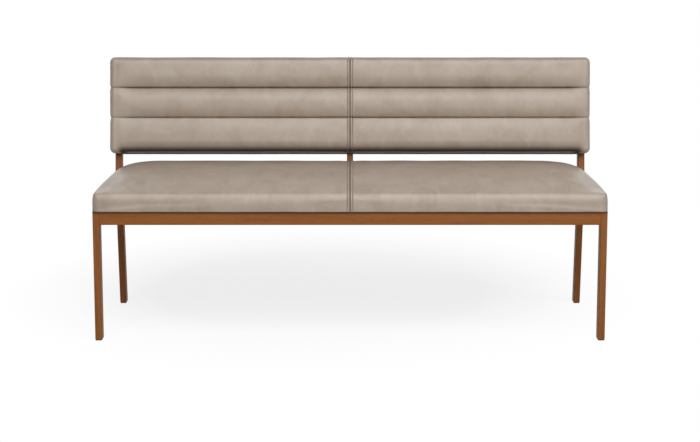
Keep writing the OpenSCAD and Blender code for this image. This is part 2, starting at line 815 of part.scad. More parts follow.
// Lines across the three channels, from the lower edge to the top
function low_bs(e, seam) = concat([for (s = roll_shares) back_low + e + s * low_roll],
    [for (s = low_shares) back_low + s * low_channel_h], [seam]);
function mid_bs(first, last) = concat([first],
    [for (s = mid_shares) seam_low + s * mid_channel_h], [last]);
function top_bs(e, seam) = concat([seam], [for (s = top_shares) seam_high + s * top_channel_h],
    [for (s = reversed(roll_shares)) back_top - e - s * back_roll]);
function back_bs(e) = concat(low_bs(e, seam_low), [for (s = mid_shares)
    seam_low + s * mid_channel_h], top_bs(e, seam_high));
back_ny = len(back_bs(0)) - 1;

function back_face(e) = [for (b = back_bs(e), i = [0:back_nx]) back_point(i, b, e)];
// A row round the ends and the top at the level c, drawn in by extra. Under the lower edge
// the leather stops short, so that the posts can enter behind it.
function back_ring(e, extra, c, short_c) = let (bs = back_bs(e))
    concat([for (i = [0:back_nx]) [back_a(i, bs[0], e, 0), bs[0], short_c]],
        [for (j = [1:back_ny - 1]) let (b = bs[j]) j < 2
            ? [back_a(back_nx, b, e, 0), b, short_c]
            : [back_a(back_nx, b, e, 0) - extra, min(b, back_top - e - extra), c]],
        [for (i = [back_nx:-1:0]) [back_a(i, bs[back_ny], e, 0)
            - (i < len(seam_lines) ? 0 : extra), back_top - e - extra, c]]);
short_from = crest_c - back_roll;
short_to = panel_t + soft_gap;
function short_level(n) = short_from + short_shares[n] * (short_to - short_from);
function back_rows(e) = [
    back_ring(e, 0, rear_edge_r - rear_c, short_level(0)),
    back_ring(e, rear_edge_share * (rear_edge_r - e), rear_edge_share * rear_edge_r - rear_c
        + (1 - rear_edge_share) * e, short_level(1)),
    back_ring(e, rear_edge_r - e, e - rear_c, short_level(2))];

module back_cover() {
    color(leather) back_frame() rotate([90, 0, 0])
        half_shell(back_nx, back_ny, back_face(0), back_rows(0), back_face(leather_t),
            back_rows(leather_t));
}

module back_cover_left() { mirror([1, 0, 0]) back_cover(); }
module back_cover_right() { back_cover(); }

// The filling of one channel, from seam to seam, between leather and slab
module channel_fill(bs) {
    full = [for (b = bs) each both_halves([for (i = [0:back_nx]) back_point(i, b, lining_e)])];
    color(filling) back_frame() rotate([90, 0, 0])
        pad_block(2 * back_nx, len(bs) - 1, full, slab_c);
}

module channel_fill_lower() { channel_fill(low_bs(lining_e, seam_low - fill_slot / 2)); }
module channel_fill_middle() {
    channel_fill(mid_bs(seam_low + fill_slot / 2, seam_high - fill_slot / 2));
}
module channel_fill_upper() { channel_fill(top_bs(lining_e, seam_high + fill_slot / 2)); }

front_leg_left();
front_leg_right();
rear_leg_left();
rear_leg_right();
middle_post();
front_rail();
rear_rail();
side_rail_left();
side_rail_right();
cross_rail_left();
cross_rail_middle();
cross_rail_right();
corner_blocks();
corner_block_screws();
frame_dowels();
middle_post_screw();
foot_glides();
seat_deck();
seat_tee_nuts();
seat_bolts();
seat_foam();
seat_cover_left();
seat_cover_right();
seat_dust_cover();
back_top_rail_left();
back_top_rail_right();
back_bottom_rail_left();
back_bottom_rail_right();
back_dowels();
back_panel();
back_panel_screws();
back_slab_foam();
channel_fill_lower();
channel_fill_middle();
channel_fill_upper();
back_edge_foam();
back_rear_board();
back_rear_foam();
back_cover_left();
back_cover_right();
back_rear_cover();
back_dust_strip();
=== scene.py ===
"""Looks of an upholstered banquette bench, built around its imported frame. Metres.

X runs along the bench, Y from front to back, Z up. Padded shapes are drawn in pad axes:
a along the bench, b across the pad and c out of its face. For the seat they are X, Y and
Z. For the back they lean with the posts.
"""
import math

import bmesh
import bpy
import numpy as np
from mathutils import Matrix, Vector, kdtree, noise


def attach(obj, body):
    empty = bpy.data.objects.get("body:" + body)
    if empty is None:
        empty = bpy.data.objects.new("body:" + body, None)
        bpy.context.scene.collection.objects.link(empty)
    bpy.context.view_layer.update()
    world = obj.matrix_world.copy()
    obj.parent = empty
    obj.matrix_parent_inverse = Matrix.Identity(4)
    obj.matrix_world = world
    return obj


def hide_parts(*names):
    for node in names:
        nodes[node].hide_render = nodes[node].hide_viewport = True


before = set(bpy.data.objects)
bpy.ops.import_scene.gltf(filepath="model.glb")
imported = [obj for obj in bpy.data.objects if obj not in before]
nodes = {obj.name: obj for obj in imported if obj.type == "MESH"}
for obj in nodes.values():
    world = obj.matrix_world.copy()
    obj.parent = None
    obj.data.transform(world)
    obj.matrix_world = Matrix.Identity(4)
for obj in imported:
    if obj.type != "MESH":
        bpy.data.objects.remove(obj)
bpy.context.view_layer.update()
scene = bpy.context.scene
MM = 0.001
TINY = 1e-6

# The photograph's camera
CAMERA_LENS = 85
CAMERA_SENSOR = 36
CAMERA_PITCH = math.radians(9)
CAMERA_PLACE = (0, -5.131, 1.127)
CAMERA_REACH = 200

# The back leans with its posts
BACK_RAKE = math.radians(9)
LEAN = Matrix.Rotation(-BACK_RAKE, 3, "X")


def pad_to_world(points, leaning):
    """Points in pad axes as points of the row frame."""
    points = np.asarray(points, float)
    if not leaning:
        return points
    upright = np.stack([points[..., 0], -points[..., 2], points[..., 1]], -1)
    return upright @ np.array(LEAN).T


def pad_box(node, leaning=False):
    """Lowest and highest corner of a CAD node in pad axes."""
    co = np.array([v.co for v in nodes[node].data.vertices], float)
    if leaning:
        upright = co @ np.array(LEAN)
        co = np.stack([upright[:, 0], upright[:, 2], -upright[:, 1]], -1)
    return co.min(0), co.max(0)


def in_scene(name, data):
    """A new object in the scene."""
    obj = bpy.data.objects.new(name, data)
    scene.collection.objects.link(obj)
    return obj


# Places that the frame gives
seat_low, seat_high = pad_box("seat_cover_right")
SEAT_HALF = seat_high[0]
SEAT_FRONT, SEAT_REAR = seat_low[1], seat_high[1]
SEAT_FOOT, SEAT_TOP = seat_low[2], seat_high[2]
DECK_LOW, DECK_TOP = (corner[2] for corner in pad_box("seat_deck"))

back_low, back_high = pad_box("back_cover_right", True)
BACK_HALF = back_high[0]
BACK_LOW, BACK_TOP = back_low[1], back_high[1]
BACK_CREST = back_high[2]
BACK_REAR = pad_box("back_rear_cover", True)[0][2]
SEAM_LOW = (pad_box("channel_fill_lower", True)[1][1]
            + pad_box("channel_fill_middle", True)[0][1]) / 2
SEAM_HIGH = (pad_box("channel_fill_middle", True)[1][1]
             + pad_box("channel_fill_upper", True)[0][1]) / 2
board_low, board_high = pad_box("back_panel", True)
POST_HALF, POST_TOP, PANEL_FACE = board_high
POST_FACE = board_low[2]
POST_REAR = pad_box("middle_post", True)[0][2]

# Sizes of the padded shapes
LEATHER = 2 * MM
CLEAR = 0.3 * MM
CLOSE = CLEAR / 3
SEAT_SIDE = 23.5 * MM
SEAT_ROLL = 12 * MM
SEAT_ROLL_H = 30 * MM
SEAT_CORNER = 22 * MM
CROWN_REACH = 320 * MM
CROWN_FLAT = 21 * MM
CROWN_POWER = 7
FRONT_POWER = 2.2
FRONT_DIP, FRONT_DIP_W = 7 * MM, 50 * MM
END_ROLL = 6 * MM
SEAT_SINK = 1.5 * MM
SIDE_SWELL = 2 * MM
SIDE_DRAW = 0.8 * MM
LIP_DROP = 1.3 * MM
OVERHANG = pad_box("front_rail")[0][1] - SEAT_FRONT
TURN_IN = 20 * MM
DECK_INSET = 5 * MM
BACK_ROLL = 16 * MM
LOW_ROLL = 16 * MM
LOW_FROM, LOW_TO, LOW_DEEP = 4 * MM, 37 * MM, 24 * MM
LOW_POWER = 1.7
EDGE_DEEP, EDGE_R = 41 * MM, 2.5 * MM
BAND_IN, BAND_OUT, BAND_LATE = 16 * MM, 42 * MM, 75 * MM
BAND_SHARE = 0.25
BACK_CORNER = 18 * MM
REAR_EDGE = 6 * MM
END_DIP, END_DIP_AT, END_DIP_W = 0.9 * MM, 21 * MM, 6 * MM
NOTCH = 2.5 * MM
NOTCH_POWER = 8
SIDE_ROWS = 7
BACK_ROWS = 11
LIP_TURNS = np.radians([30, 60, 90, 120, 150])
EDGE_TURNS = np.radians([22.5, 45, 67.5, 90])
TURN_IN_SHARES = (0.6, 1)

# The channels of the back, from the lowest: where each ends, how far its face falls back
# at its lower and at its upper end, and the crease between two of them
CHANNELS = [(BACK_LOW, SEAM_LOW, 0, 6 * MM), (SEAM_LOW, SEAM_HIGH, 8.5 * MM, 14 * MM),
            (SEAM_HIGH, BACK_TOP, 10 * MM, 2 * MM)]
FALL_POWER = 2.6
CREASE = 6 * MM
CREASE_W = 3.2 * MM
CREASE_POWER = 1.4

# The sewn seams. A seam's groove is flanked by the raised allowance and a stitched furrow.
SEAM_DIP = 3.8 * MM
SEAM_SLOT = 1.2 * MM
SEAM_RISE = 1.3 * MM
STITCH_OFF = 8 * MM
FURROW = 1.3 * MM
FURROW_W = 1.3 * MM
RISE_SHARE, RISE_POWER = 0.38, 4
SEAM_LINES = np.array([0, 0.5, 1.1, 1.8, 2.8, 4.2, 5.6, 6.6, 7.3, 8, 8.7, 9.5, 11, 13.5, 17,
                       21, 26]) * MM
CREASE_LINES = np.array([0.4, 0.9, 1.6, 2.6, 4, 6, 8.5, 11.5, 15]) * MM
LOW_LINES = np.array([0, 0.4, 0.8, 1.2, 1.8, 2.6, 3.5, 4, 4.6, 5.4, 6.5, 7.8, 9.4, 11.4, 13.6,
                      16.2, 19.2, 23, 26.5, 31, 37]) * MM


def srgb(r, g, b):
    """A colour given in the photograph's 0 to 255 values."""
    def linear(v):
        v /= 255
        return v / 12.92 if v <= 0.04045 else ((v + 0.055) / 1.055) ** 2.4
    return (linear(r), linear(g), linear(b), 1.0)


# Profiles
def roll(d, radius):
    """Height of a quarter circle at the distance d from its foot, as a share."""
    return np.sqrt(1 - (1 - np.clip(d, 0, radius) / radius) ** 2)


def crown(d, reach, power):
    return 1 - (1 - np.clip(d, 0, reach) / reach) ** power


def bell(d, width):
    """1 at the distance 0, falling off to both sides."""
    return np.exp(-(d / width) ** 2)


def corner_run(d, radius):
    """How far a rounded corner draws the end in, at the distance d from the edge."""
    return radius - np.sqrt(radius ** 2 - (radius - np.clip(d, 0, radius)) ** 2)


def seam_profile(a):
    """Relief beside a seam: the slot, the raised allowance and the stitched furrow."""
    d = np.abs(a)
    rise = SEAM_RISE * np.exp(-((d - STITCH_OFF / 2) / (STITCH_OFF * RISE_SHARE)) ** RISE_POWER)
    return rise - SEAM_DIP * bell(d, SEAM_SLOT) - FURROW * bell(d - STITCH_OFF, FURROW_W)


def circle_lines(radius, steps):
    """Distances from an edge that place points evenly round a quarter circle."""
    return radius * (1 - np.cos(np.linspace(0, math.pi / 2, steps + 1)))


def even_lines(first, last, step):
    """Distances between two lines, without those two."""
    count = max(1, round((last - first) / step))
    return np.linspace(first, last, count + 1)[1:-1]


# Grids. A half pad is a face grid, its border path and rows of points that lead from it.
def border(grid):
    """The border of a face grid from the seam along the low edge, up the end and back."""
    return np.concatenate([grid[0], grid[1:-1, -1], grid[-1, ::-1]])


def outward(path, low, high, half, radius):
    """Unit vectors that point out of a rounded outline, at the points of its path."""
    core = np.stack([np.minimum(path[:, 0], half - radius),
                     np.clip(path[:, 1], low + radius, high - radius)], -1)
    away = path[:, :2] - core
    return away / np.linalg.norm(away, axis=1)[:, None]


def half_faces(grid, rows):
    """Quads of a face grid and its rows, for vertices in the order grid, then rows."""
    ny, nx = grid.shape[0] - 1, grid.shape[1] - 1
    index = np.arange((nx + 1) * (ny + 1)).reshape(ny + 1, nx + 1)
    levels = [border(index)]
    steps = len(levels[0])
    for n in range(len(rows)):
        levels.append(index.size + n * steps + np.arange(steps))
    quads = [(index[j, i], index[j, i + 1], index[j + 1, i + 1], index[j + 1, i])
             for j in range(ny) for i in range(nx)]
    quads += [(up[s], down[s], down[s + 1], up[s + 1])
              for up, down in zip(levels, levels[1:]) for s in range(steps - 1)]
    return [tuple(int(v) for v in q) for q in quads], levels, index


def closed_half(grid, rows, flip=False):
    """A closed solid from a half pad: the last row is capped and the seam side filled."""
    faces, levels, index = half_faces(grid, rows)
    verts = np.concatenate([grid.reshape(-1, 3)] + list(rows))
    seam = np.hstack([[level[0] for level in levels[::-1]], index[1:-1, 0],
                      [level[-1] for level in levels]])
    faces += [tuple(levels[-1].tolist()), tuple(seam.tolist())]
    if flip:
        verts = verts * np.array([-1, 1, 1])
        faces = [tuple(reversed(f)) for f in faces]
    return verts, faces


# The seat
def spread_a(a_lines, ends, half, keep):
    """The a places of a grid. Each row is drawn in at its end, beside the seam it isn't."""
    a = np.broadcast_to(a_lines, (len(ends), len(a_lines)))
    share = (half - ends - keep) / (half - keep)
    return np.where(a <= keep, a, keep + (a - keep) * share[:, None])


def seat_grid(step, seam_lines, turns=8):
    edge = circle_lines(SEAT_ROLL, turns)
    a_lines = np.hstack([seam_lines, even_lines(seam_lines[-1], SEAT_HALF - END_ROLL, step),
                         SEAT_HALF - circle_lines(END_ROLL, turns)[::-1]])
    depth = SEAT_REAR - SEAT_FRONT
    b_lines = SEAT_FRONT + np.hstack([edge, even_lines(SEAT_ROLL, depth - SEAT_ROLL, step),
                                      depth - edge[::-1]])
    edge = np.minimum(b_lines - SEAT_FRONT, SEAT_REAR - b_lines)
    ends = corner_run(edge, SEAT_CORNER)
    a = spread_a(a_lines, ends, SEAT_HALF, SEAM_LINES[-1])
    da = SEAT_HALF - ends[:, None] - a
    db = np.broadcast_to(edge[:, None], a.shape)
    crown_h = SEAT_TOP - SEAT_SINK - SEAT_FOOT - SEAT_SIDE - SEAT_ROLL_H
    reach_b = (SEAT_REAR - SEAT_FRONT - CROWN_FLAT) / 2
    b = np.broadcast_to(b_lines[:, None], a.shape)
    run = db / FRONT_DIP_W
    dip = FRONT_DIP / crown_h * run * np.exp(1 - run) * np.maximum(0, 1 - db / reach_b)
    deep = np.where(b < (SEAT_FRONT + SEAT_REAR) / 2, crown(db, reach_b, FRONT_POWER) - dip,
                    crown(db, reach_b, CROWN_POWER))
    c = (SEAT_FOOT + SEAT_SIDE + SEAT_ROLL_H * roll(da, END_ROLL) * roll(db, SEAT_ROLL)
         + crown_h * crown(da, CROWN_REACH, CROWN_POWER) * deep)
    return np.stack([a, b, c], -1)


def seat_rows(grid):
    """Rows down the side, round the lip over the rails and along the turned-in edge, and those
    of the deck's recess. The front and rear swell out towards the lip, the ends draw in."""
    path = border(grid)
    out = outward(path, SEAT_FRONT, SEAT_REAR, SEAT_HALF, SEAT_CORNER)
    swell = SIDE_SWELL * np.abs(out[:, 1]) - SIDE_DRAW * np.abs(out[:, 0])
    lip_r = (OVERHANG - CLEAR + swell) / 2
    lip = SEAT_FOOT - LIP_DROP + lip_r

    def row(drawn, c):
        moved = out * np.broadcast_to(drawn, len(path))[:, None]
        return np.column_stack([path[:, :2] - moved, np.broadcast_to(c, len(path))])

    side = SEAT_FOOT + SEAT_SIDE - lip
    rows = [row(-swell * s, SEAT_FOOT + SEAT_SIDE - s * side)
            for s in np.linspace(0, 1, SIDE_ROWS + 1)[1:]]
    rows += [row(lip_r * (1 - math.cos(t)) - swell, lip - lip_r * math.sin(t))
             for t in LIP_TURNS]
    rows += [row(OVERHANG - CLEAR, SEAT_FOOT)]
    rows += [row(TURN_IN * s, SEAT_FOOT) for s in TURN_IN_SHARES]
    inner = path[:, :2] - out * LEATHER
    inner[:, 0] = np.minimum(inner[:, 0], SEAT_HALF - DECK_INSET)
    inner[:, 1] = np.clip(inner[:, 1], SEAT_FRONT + DECK_INSET, SEAT_REAR - DECK_INSET)
    return rows, [row(TURN_IN, DECK_LOW - CLEAR)] + [
        np.column_stack([inner, np.full(len(path), c)])
        for c in (DECK_LOW - CLEAR, DECK_TOP + CLEAR)]


# The back
def seam_share(b):
    """Distance from the nearest channel seam as a share of the channel's height."""
    return np.where(b < SEAM_LOW, (SEAM_LOW - b) / (SEAM_LOW - BACK_LOW),
                    np.where(b > SEAM_HIGH, (b - SEAM_HIGH) / (BACK_TOP - SEAM_HIGH),
                             np.minimum(b - SEAM_LOW, SEAM_HIGH - b) / (SEAM_HIGH - SEAM_LOW)))


def off_seams(b):
    """Distance from the nearest channel seam."""
    return np.minimum(np.abs(b - SEAM_LOW), np.abs(b - SEAM_HIGH))


def channel_fall(b):
    """How far the face falls back from the crest at the height b."""
    fall = np.zeros_like(b)
    for low, high, at_low, at_high in CHANNELS:
        share = np.clip((b - low) / (high - low), 0, 1)
        swell = (at_low * np.maximum(0, 1 - 2 * share) ** FALL_POWER
                 + at_high * np.maximum(0, 2 * share - 1) ** FALL_POWER)
        fall = np.maximum(fall, np.where((b >= low) & (b <= high), swell, 0))
    return fall + CREASE * np.maximum(0, 1 - off_seams(b) / CREASE_W) ** CREASE_POWER


def notch(b):
    return NOTCH * np.maximum(0, 1 - 2 * seam_share(b)) ** NOTCH_POWER


def past_band(da, out):
    """0 on the plain bands at the ends of the back and 1 further in than out."""
    share = np.clip((da - BAND_IN) / (out - BAND_IN), 0, 1)
    return share * share * (3 - 2 * share)


def low_recess(d):
    """How far the face lies back near the low edge: the lowest channel rolls under, and the
    edge of the frame shows below it."""
    turn = np.clip((LOW_TO - d) / (LOW_TO - LOW_FROM), 0, 1)
    rolled = LOW_DEEP * (1 - (1 - turn ** LOW_POWER) ** (1 / LOW_POWER))
    return np.where(d > LOW_FROM - TINY, rolled, EDGE_DEEP + EDGE_R * (1 - roll(d, EDGE_R)))


def back_grid(step_a, step_b, seam_lines, crease_lines, low_lines, turns=8):
    edge = circle_lines(BACK_ROLL, turns)
    a_lines = np.hstack([seam_lines, even_lines(seam_lines[-1], BACK_HALF - BACK_ROLL, step_a),
                         BACK_HALF - edge[::-1]])
    b_lines, start = BACK_LOW + low_lines, BACK_LOW + LOW_TO
    for seam in (SEAM_LOW, SEAM_HIGH):
        b_lines = np.hstack([b_lines, even_lines(start, seam - crease_lines[-1], step_b),
                             seam - crease_lines[::-1], seam, seam + crease_lines])
        start = seam + crease_lines[-1]
    b_lines = np.hstack([b_lines, even_lines(start, BACK_TOP - BACK_ROLL, step_b),
                         BACK_TOP - edge[::-1]])
    edge = np.minimum(b_lines - BACK_LOW, BACK_TOP - b_lines)
    ends = corner_run(edge, BACK_CORNER) + notch(b_lines)
    a = spread_a(a_lines, ends, BACK_HALF, SEAM_LINES[-1])
    da = BACK_HALF - ends[:, None] - a
    full = past_band(da, BAND_OUT)
    fall = BAND_SHARE + (1 - BAND_SHARE) * past_band(da, BAND_LATE)
    low = (b_lines - BACK_LOW)[:, None]
    lift = roll(BACK_TOP - b_lines, BACK_ROLL)[:, None] * (
        full + (1 - full) * roll(low, LOW_ROLL))
    height = BACK_ROLL - channel_fall(b_lines)[:, None] * fall
    height = height - END_DIP * bell(da - END_DIP_AT, END_DIP_W)
    c = (BACK_CREST - BACK_ROLL + height * roll(da, BACK_ROLL) * lift
         - low_recess(low) * full)
    b = np.broadcast_to(b_lines[:, None], a.shape)
    return np.stack([a, b, c], -1)


def back_rows(grid):
    """Rows round the ends and the top to the rear edge, and under the lower edge as far as
    the panel, and those of the recess for the panel and the posts."""
    path = border(grid)
    drawn_in = notch(path[:, 1]) * (path[:, 0] > BACK_HALF - BACK_ROLL)
    outline = path[:, :2] + np.column_stack([drawn_in, np.zeros(len(path))])
    out = outward(outline, BACK_LOW, BACK_TOP, BACK_HALF, BACK_CORNER)
    under = (outline[:, 1] < BACK_LOW + BACK_CORNER) & (outline[:, 0] < POST_HALF + CLEAR)
    front = BACK_CREST - BACK_ROLL
    side_levels = np.linspace(front, BACK_REAR + REAR_EDGE, BACK_ROWS + 1)[1:]
    full = [((level - POST_FACE) / (front - POST_FACE), 0, level) for level in side_levels]
    full += [(0, REAR_EDGE * (1 - math.cos(t)), BACK_REAR + REAR_EDGE * (1 - math.sin(t)))
             for t in EDGE_TURNS]
    count = len(full)
    rows = []
    for n, (fade, drawn, level) in enumerate(full):
        spot = outline - out * drawn
        spot[:, 0] -= drawn_in * max(0, fade)
        short = path[:, 2] + (POST_FACE + CLEAR - path[:, 2]) * (n + 1) / count
        spot = np.where(under[:, None], outline, spot)
        rows.append(np.column_stack([spot, np.where(under, short, level)]))
    inner = np.column_stack([
        np.minimum(outline[:, 0], POST_HALF + CLEAR),
        np.clip(outline[:, 1], BACK_LOW + LEATHER, POST_TOP + CLEAR)])
    tuck = outline - out * (REAR_EDGE + CLOSE)
    depth = np.where(under, POST_FACE + CLEAR, BACK_REAR + LEATHER - CLOSE)
    return rows, [np.column_stack([np.where(under[:, None], outline, tuck), depth]),
                  np.column_stack([inner, depth]),
                  np.column_stack([inner, np.full(len(path), PANEL_FACE + CLEAR)])]


# Settling. A coarse copy of a pad is blown up with cloth simulation, and the fine pad
# takes over how far each place moved.
SETTLE_FRAMES = 14
SETTLE_CAP = 1.1 * MM
SETTLE_NEAR = 4
SETTLE_BLUR = 0.1 * MM
SETTLE_CLOTH = {
    "quality": 6, "mass": 0.3, "tension_stiffness": 25, "compression_stiffness": 25,
    "shear_stiffness": 12, "bending_stiffness": 1.5, "use_pressure": True,
    "uniform_pressure_force": 1.5, "vertex_group_mass": "pinned"}


def settle(name, grid, rows_of, pinned):
    """Points of a coarse closed pad and how far each moves."""
    verts, faces = closed_half(grid, rows_of(grid)[0])
    faces = faces[:-1]
    mesh = bpy.data.meshes.new(name)
    count = len(verts)
    mirrored = verts * np.array([-1, 1, 1])
    mesh.from_pydata(np.concatenate([verts, mirrored]).tolist(), [],
                     faces + [tuple(v + count for v in reversed(f)) for f in faces])
    bm = bmesh.new()
    bm.from_mesh(mesh)
    bmesh.ops.remove_doubles(bm, verts=bm.verts, dist=TINY)
    bm.to_mesh(mesh)
    bm.free()
    obj = in_scene(name, mesh)
    start = np.array([v.co for v in mesh.vertices])
    group = obj.vertex_groups.new(name="pinned")
    group.add([n for n, p in enumerate(start) if pinned(p)], 1.0, "REPLACE")
    cloth = obj.modifiers.new("cloth", "CLOTH")
    for key, value in SETTLE_CLOTH.items():
        setattr(cloth.settings, key, value)
    cloth.settings.effector_weights.gravity = 0
    cloth.collision_settings.use_collision = False
    cloth.point_cache.frame_start = 1
    cloth.point_cache.frame_end = SETTLE_FRAMES
    for n in range(1, SETTLE_FRAMES + 1):
        scene.frame_set(n)
    settled = obj.evaluated_get(bpy.context.evaluated_depsgraph_get()).to_mesh()
    moved = np.array([v.co for v in settled.vertices]) - start
    scene.frame_set(1)
    bpy.data.objects.remove(obj)
    length = np.linalg.norm(moved, axis=1)
    return start, moved * (SETTLE_CAP / (SETTLE_CAP + length))[:, None]


def spread_motion(points, start, moved):
    """How far the fine points move, from the nearest coarse ones."""
    tree = kdtree.KDTree(len(start))
    for n, p in enumerate(start):
        tree.insert(p, n)
    tree.balance()
    out = np.zeros_like(points)
    for n, p in enumerate(points):
        near = tree.find_n(p, SETTLE_NEAR)
        weights = np.array([1 / (d + SETTLE_BLUR) ** 2 for _, _, d in near])
        out[n] = np.average(moved[[k for _, k, _ in near]], 0, weights)
    return out


# Meshes and materials
WELD = 1e-7
SHARP_FROM = math.radians(60)


def make_piece(name, verts, faces, material, weld=True, painted_shade=None):
    """A piece of the bench. Its last argument gives how much painted shade darkens its leather at
    each point.
    """
    mesh = bpy.data.meshes.new(name)
    mesh.from_pydata(np.asarray(verts).tolist(), [], faces)
    if painted_shade is not None:
        mesh.attributes.new("painted_shade", "FLOAT", "POINT").data.foreach_set("value", painted_shade)
    bm = bmesh.new()
    bm.from_mesh(mesh)
    if weld:
        bmesh.ops.remove_doubles(bm, verts=bm.verts, dist=WELD)
    bmesh.ops.recalc_face_normals(bm, faces=bm.faces)
    bm.to_mesh(mesh)
    bm.free()
    mesh.materials.append(material)
    mesh.shade_smooth()
    mesh.set_sharp_from_angle(angle=SHARP_FROM)
    obj = in_scene(name, mesh)
    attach(obj, "root")
    return obj


class Nodes:
    """Builds the node tree of a new material, or of the world that it is given."""

    def __init__(self, name, world=None):
        self.material = world or bpy.data.materials.new(name)
        self.material.use_nodes = True
        self.tree = self.material.node_tree
        self.shader = self.tree.nodes.get("Principled BSDF")

    def add(self, kind, inputs=None, **settings):
        node = self.tree.nodes.new(kind)
        for key, value in settings.items():
            setattr(node, key, value)
        for key, value in (inputs or {}).items():
            self.feed(node.inputs[key], value)
        return node

    def feed(self, socket, value):
        """Sets a socket to a value or links another socket to it."""
        if isinstance(value, bpy.types.NodeSocket):
            self.tree.links.new(value, socket)
        else:
            socket.default_value = value

    def place(self, scale=(1, 1, 1)):
        """Object coordinates stretched by a scale along each axis."""
        spot = self.add("ShaderNodeTexCoord").outputs["Object"]
        return self.add("ShaderNodeMapping", {"Vector": spot, "Scale": scale}).outputs[0]

    def noise(self, scale, detail=3.0, rough=0.5, stretch=(1, 1, 1), distortion=0.0):
        return self.add("ShaderNodeTexNoise", {
            "Vector": self.place(stretch), "Scale": scale, "Detail": detail,
            "Roughness": rough, "Distortion": distortion}).outputs["Fac"]

    def cells(self, scale):
        return self.add("ShaderNodeTexVoronoi", {
            "Vector": self.place(), "Scale": scale}).outputs["Distance"]

    def ramp(self, fac, stops):
        node = self.add("ShaderNodeValToRGB", {"Fac": fac})
        elements = node.color_ramp.elements
        while len(elements) < len(stops):
            elements.new(0.5)
        for element, (at, colour) in zip(elements, stops):
            element.position = at
            element.color = colour
        return node.outputs["Color"]

    def remap(self, value, low, high, to_low, to_high):
        return self.add("ShaderNodeMapRange", {
            "Value": value, "From Min": low, "From Max": high, "To Min": to_low,
            "To Max": to_high}).outputs["Result"]

    def mix(self, fac, first, second):
        return self.add("ShaderNodeMix", {0: fac, 6: first, 7: second},
                        data_type="RGBA").outputs[2]

    def math(self, operation, first, second):
        return self.add("ShaderNodeMath", {0: first, 1: second},
                        operation=operation).outputs[0]

    def vector(self, operation, *inputs):
        return self.add("ShaderNodeVectorMath", dict(enumerate(inputs)),
                        operation=operation).outputs

    def bump(self, height, distance, strength, normal=None):
        inputs = {"Height": height, "Distance": distance, "Strength": strength}
        if normal is not None:
            inputs["Normal"] = normal
        return self.add("ShaderNodeBump", inputs).outputs["Normal"]

    def link(self, socket, value):
        self.feed(self.shader.inputs[socket], value)


def leather_material():
    """Smooth full-grain leather: cloudy dye, a few pale scuffs and a fine pebble grain, and
    painted shade in its seams, creases and recesses, read from a point attribute."""
    n = Nodes("leather")
    cloudy = n.noise(13, 6, 0.62, distortion=0.6)
    base = n.ramp(cloudy, [(0.30, srgb(141, 126, 111)), (0.5, srgb(151, 137, 123)),
                           (0.70, srgb(158, 145, 131))])
    scuff = n.noise(1, 5, 0.68, stretch=(34, 20, 17), distortion=0.5)
    scuffed = n.mix(n.remap(scuff, 0.54, 0.76, 0.0, 0.5), base, srgb(174, 158, 143))
    # Painted shade: where the point attribute is high, the colour goes towards a dark brown. It
    # stands in for the shade in seams, creases, recesses and under the back.
    painted_shade = n.add("ShaderNodeAttribute", attribute_name="painted_shade").outputs["Fac"]
    scuffed = n.mix(painted_shade, scuffed, srgb(48, 34, 26))
    cells = n.cells(820)
    pits = n.remap(cells, 0.25, 0.75, 0.0, 0.14)
    n.link("Base Color", n.mix(pits, scuffed, srgb(112, 93, 77)))
    worn = n.noise(30, 4, 0.6)
    n.link("Roughness", n.remap(worn, 0.3, 0.7, 0.34, 0.41))
    folds = n.noise(1, 4, 0.55, stretch=(34, 20, 22))
    wrinkles = n.bump(folds, 0.0010, 0.22)
    grain = n.bump(cells, 0.00016, 0.5, wrinkles)
    n.link("Normal", n.bump(n.noise(1900, 2, 0.5), 0.00006, 0.4, grain))
    return n.material


# How much darker the wood is on its eased edges, and how dark and how tall the painted shadow is
# that the seat's overhang casts on the wood below it
WOOD_EDGE_DARK = 0.5
JOINT_PAINTED_SHADOW = 0.95
JOINT_SHADE_H = 11 * MM


def grain_along(axis, scale):
    """A stretch of the texture space along one axis, or along none."""
    return [scale if k == axis else 1.0 for k in range(3)]


def wood_material(name, along, dark_top=None):
    """Stained walnut with its grain along one axis: 0, 1 or 2. It is darker on the eased
    edges, and below dark_top, where the seat overhangs it, it carries a painted shadow of the
    seat."""
    n = Nodes(name)
    growth = n.noise(60, 5, 0.62, stretch=grain_along(along, 0.05), distortion=0.15)
    base = n.ramp(growth, [(0.30, srgb(113, 66, 27)), (0.46, srgb(127, 76, 33)),
                           (0.58, srgb(133, 81, 36)), (0.75, srgb(118, 70, 30))])
    pores = n.noise(900, 2, 0.5, stretch=grain_along(along, 0.045))
    dark = n.remap(pores, 0.56, 0.70, 0.0, 0.45)
    stained = n.mix(dark, base, srgb(84, 48, 23))
    # Darker on the eased edges, where the face turns off the axes
    normal = n.add("ShaderNodeNewGeometry").outputs["Normal"]
    facing = n.vector("ABSOLUTE", normal)[0]
    facing = n.add("ShaderNodeSeparateXYZ", {0: facing}).outputs
    flat = n.math("MAXIMUM", n.math("MAXIMUM", facing[0], facing[1]), facing[2])
    edge_and_shadow = n.remap(flat, 0.96, 0.88, 0.0, WOOD_EDGE_DARK)
    # Painted shadow: below dark_top, the seat's foot, the wood is painted darker for the shadow
    # of the seat's overhang
    if dark_top is not None:
        height = n.add("ShaderNodeSeparateXYZ", {0: n.place()}).outputs[2]
        seat_shadow = n.remap(height, dark_top - JOINT_SHADE_H, dark_top, 0.0, JOINT_PAINTED_SHADOW)
        edge_and_shadow = n.math("MAXIMUM", edge_and_shadow, seat_shadow)
    n.link("Base Color", n.mix(edge_and_shadow, stained, srgb(44, 22, 10)))
    n.link("Roughness", n.remap(growth, 0.3, 0.7, 0.5, 0.6))
    n.link("Specular IOR Level", 0.2)
    relief = n.bump(growth, 0.0003, 0.25)
    n.link("Normal", n.bump(pores, 0.0002, 0.3, relief))
    return n.material


PALE_GRAIN = 0.06


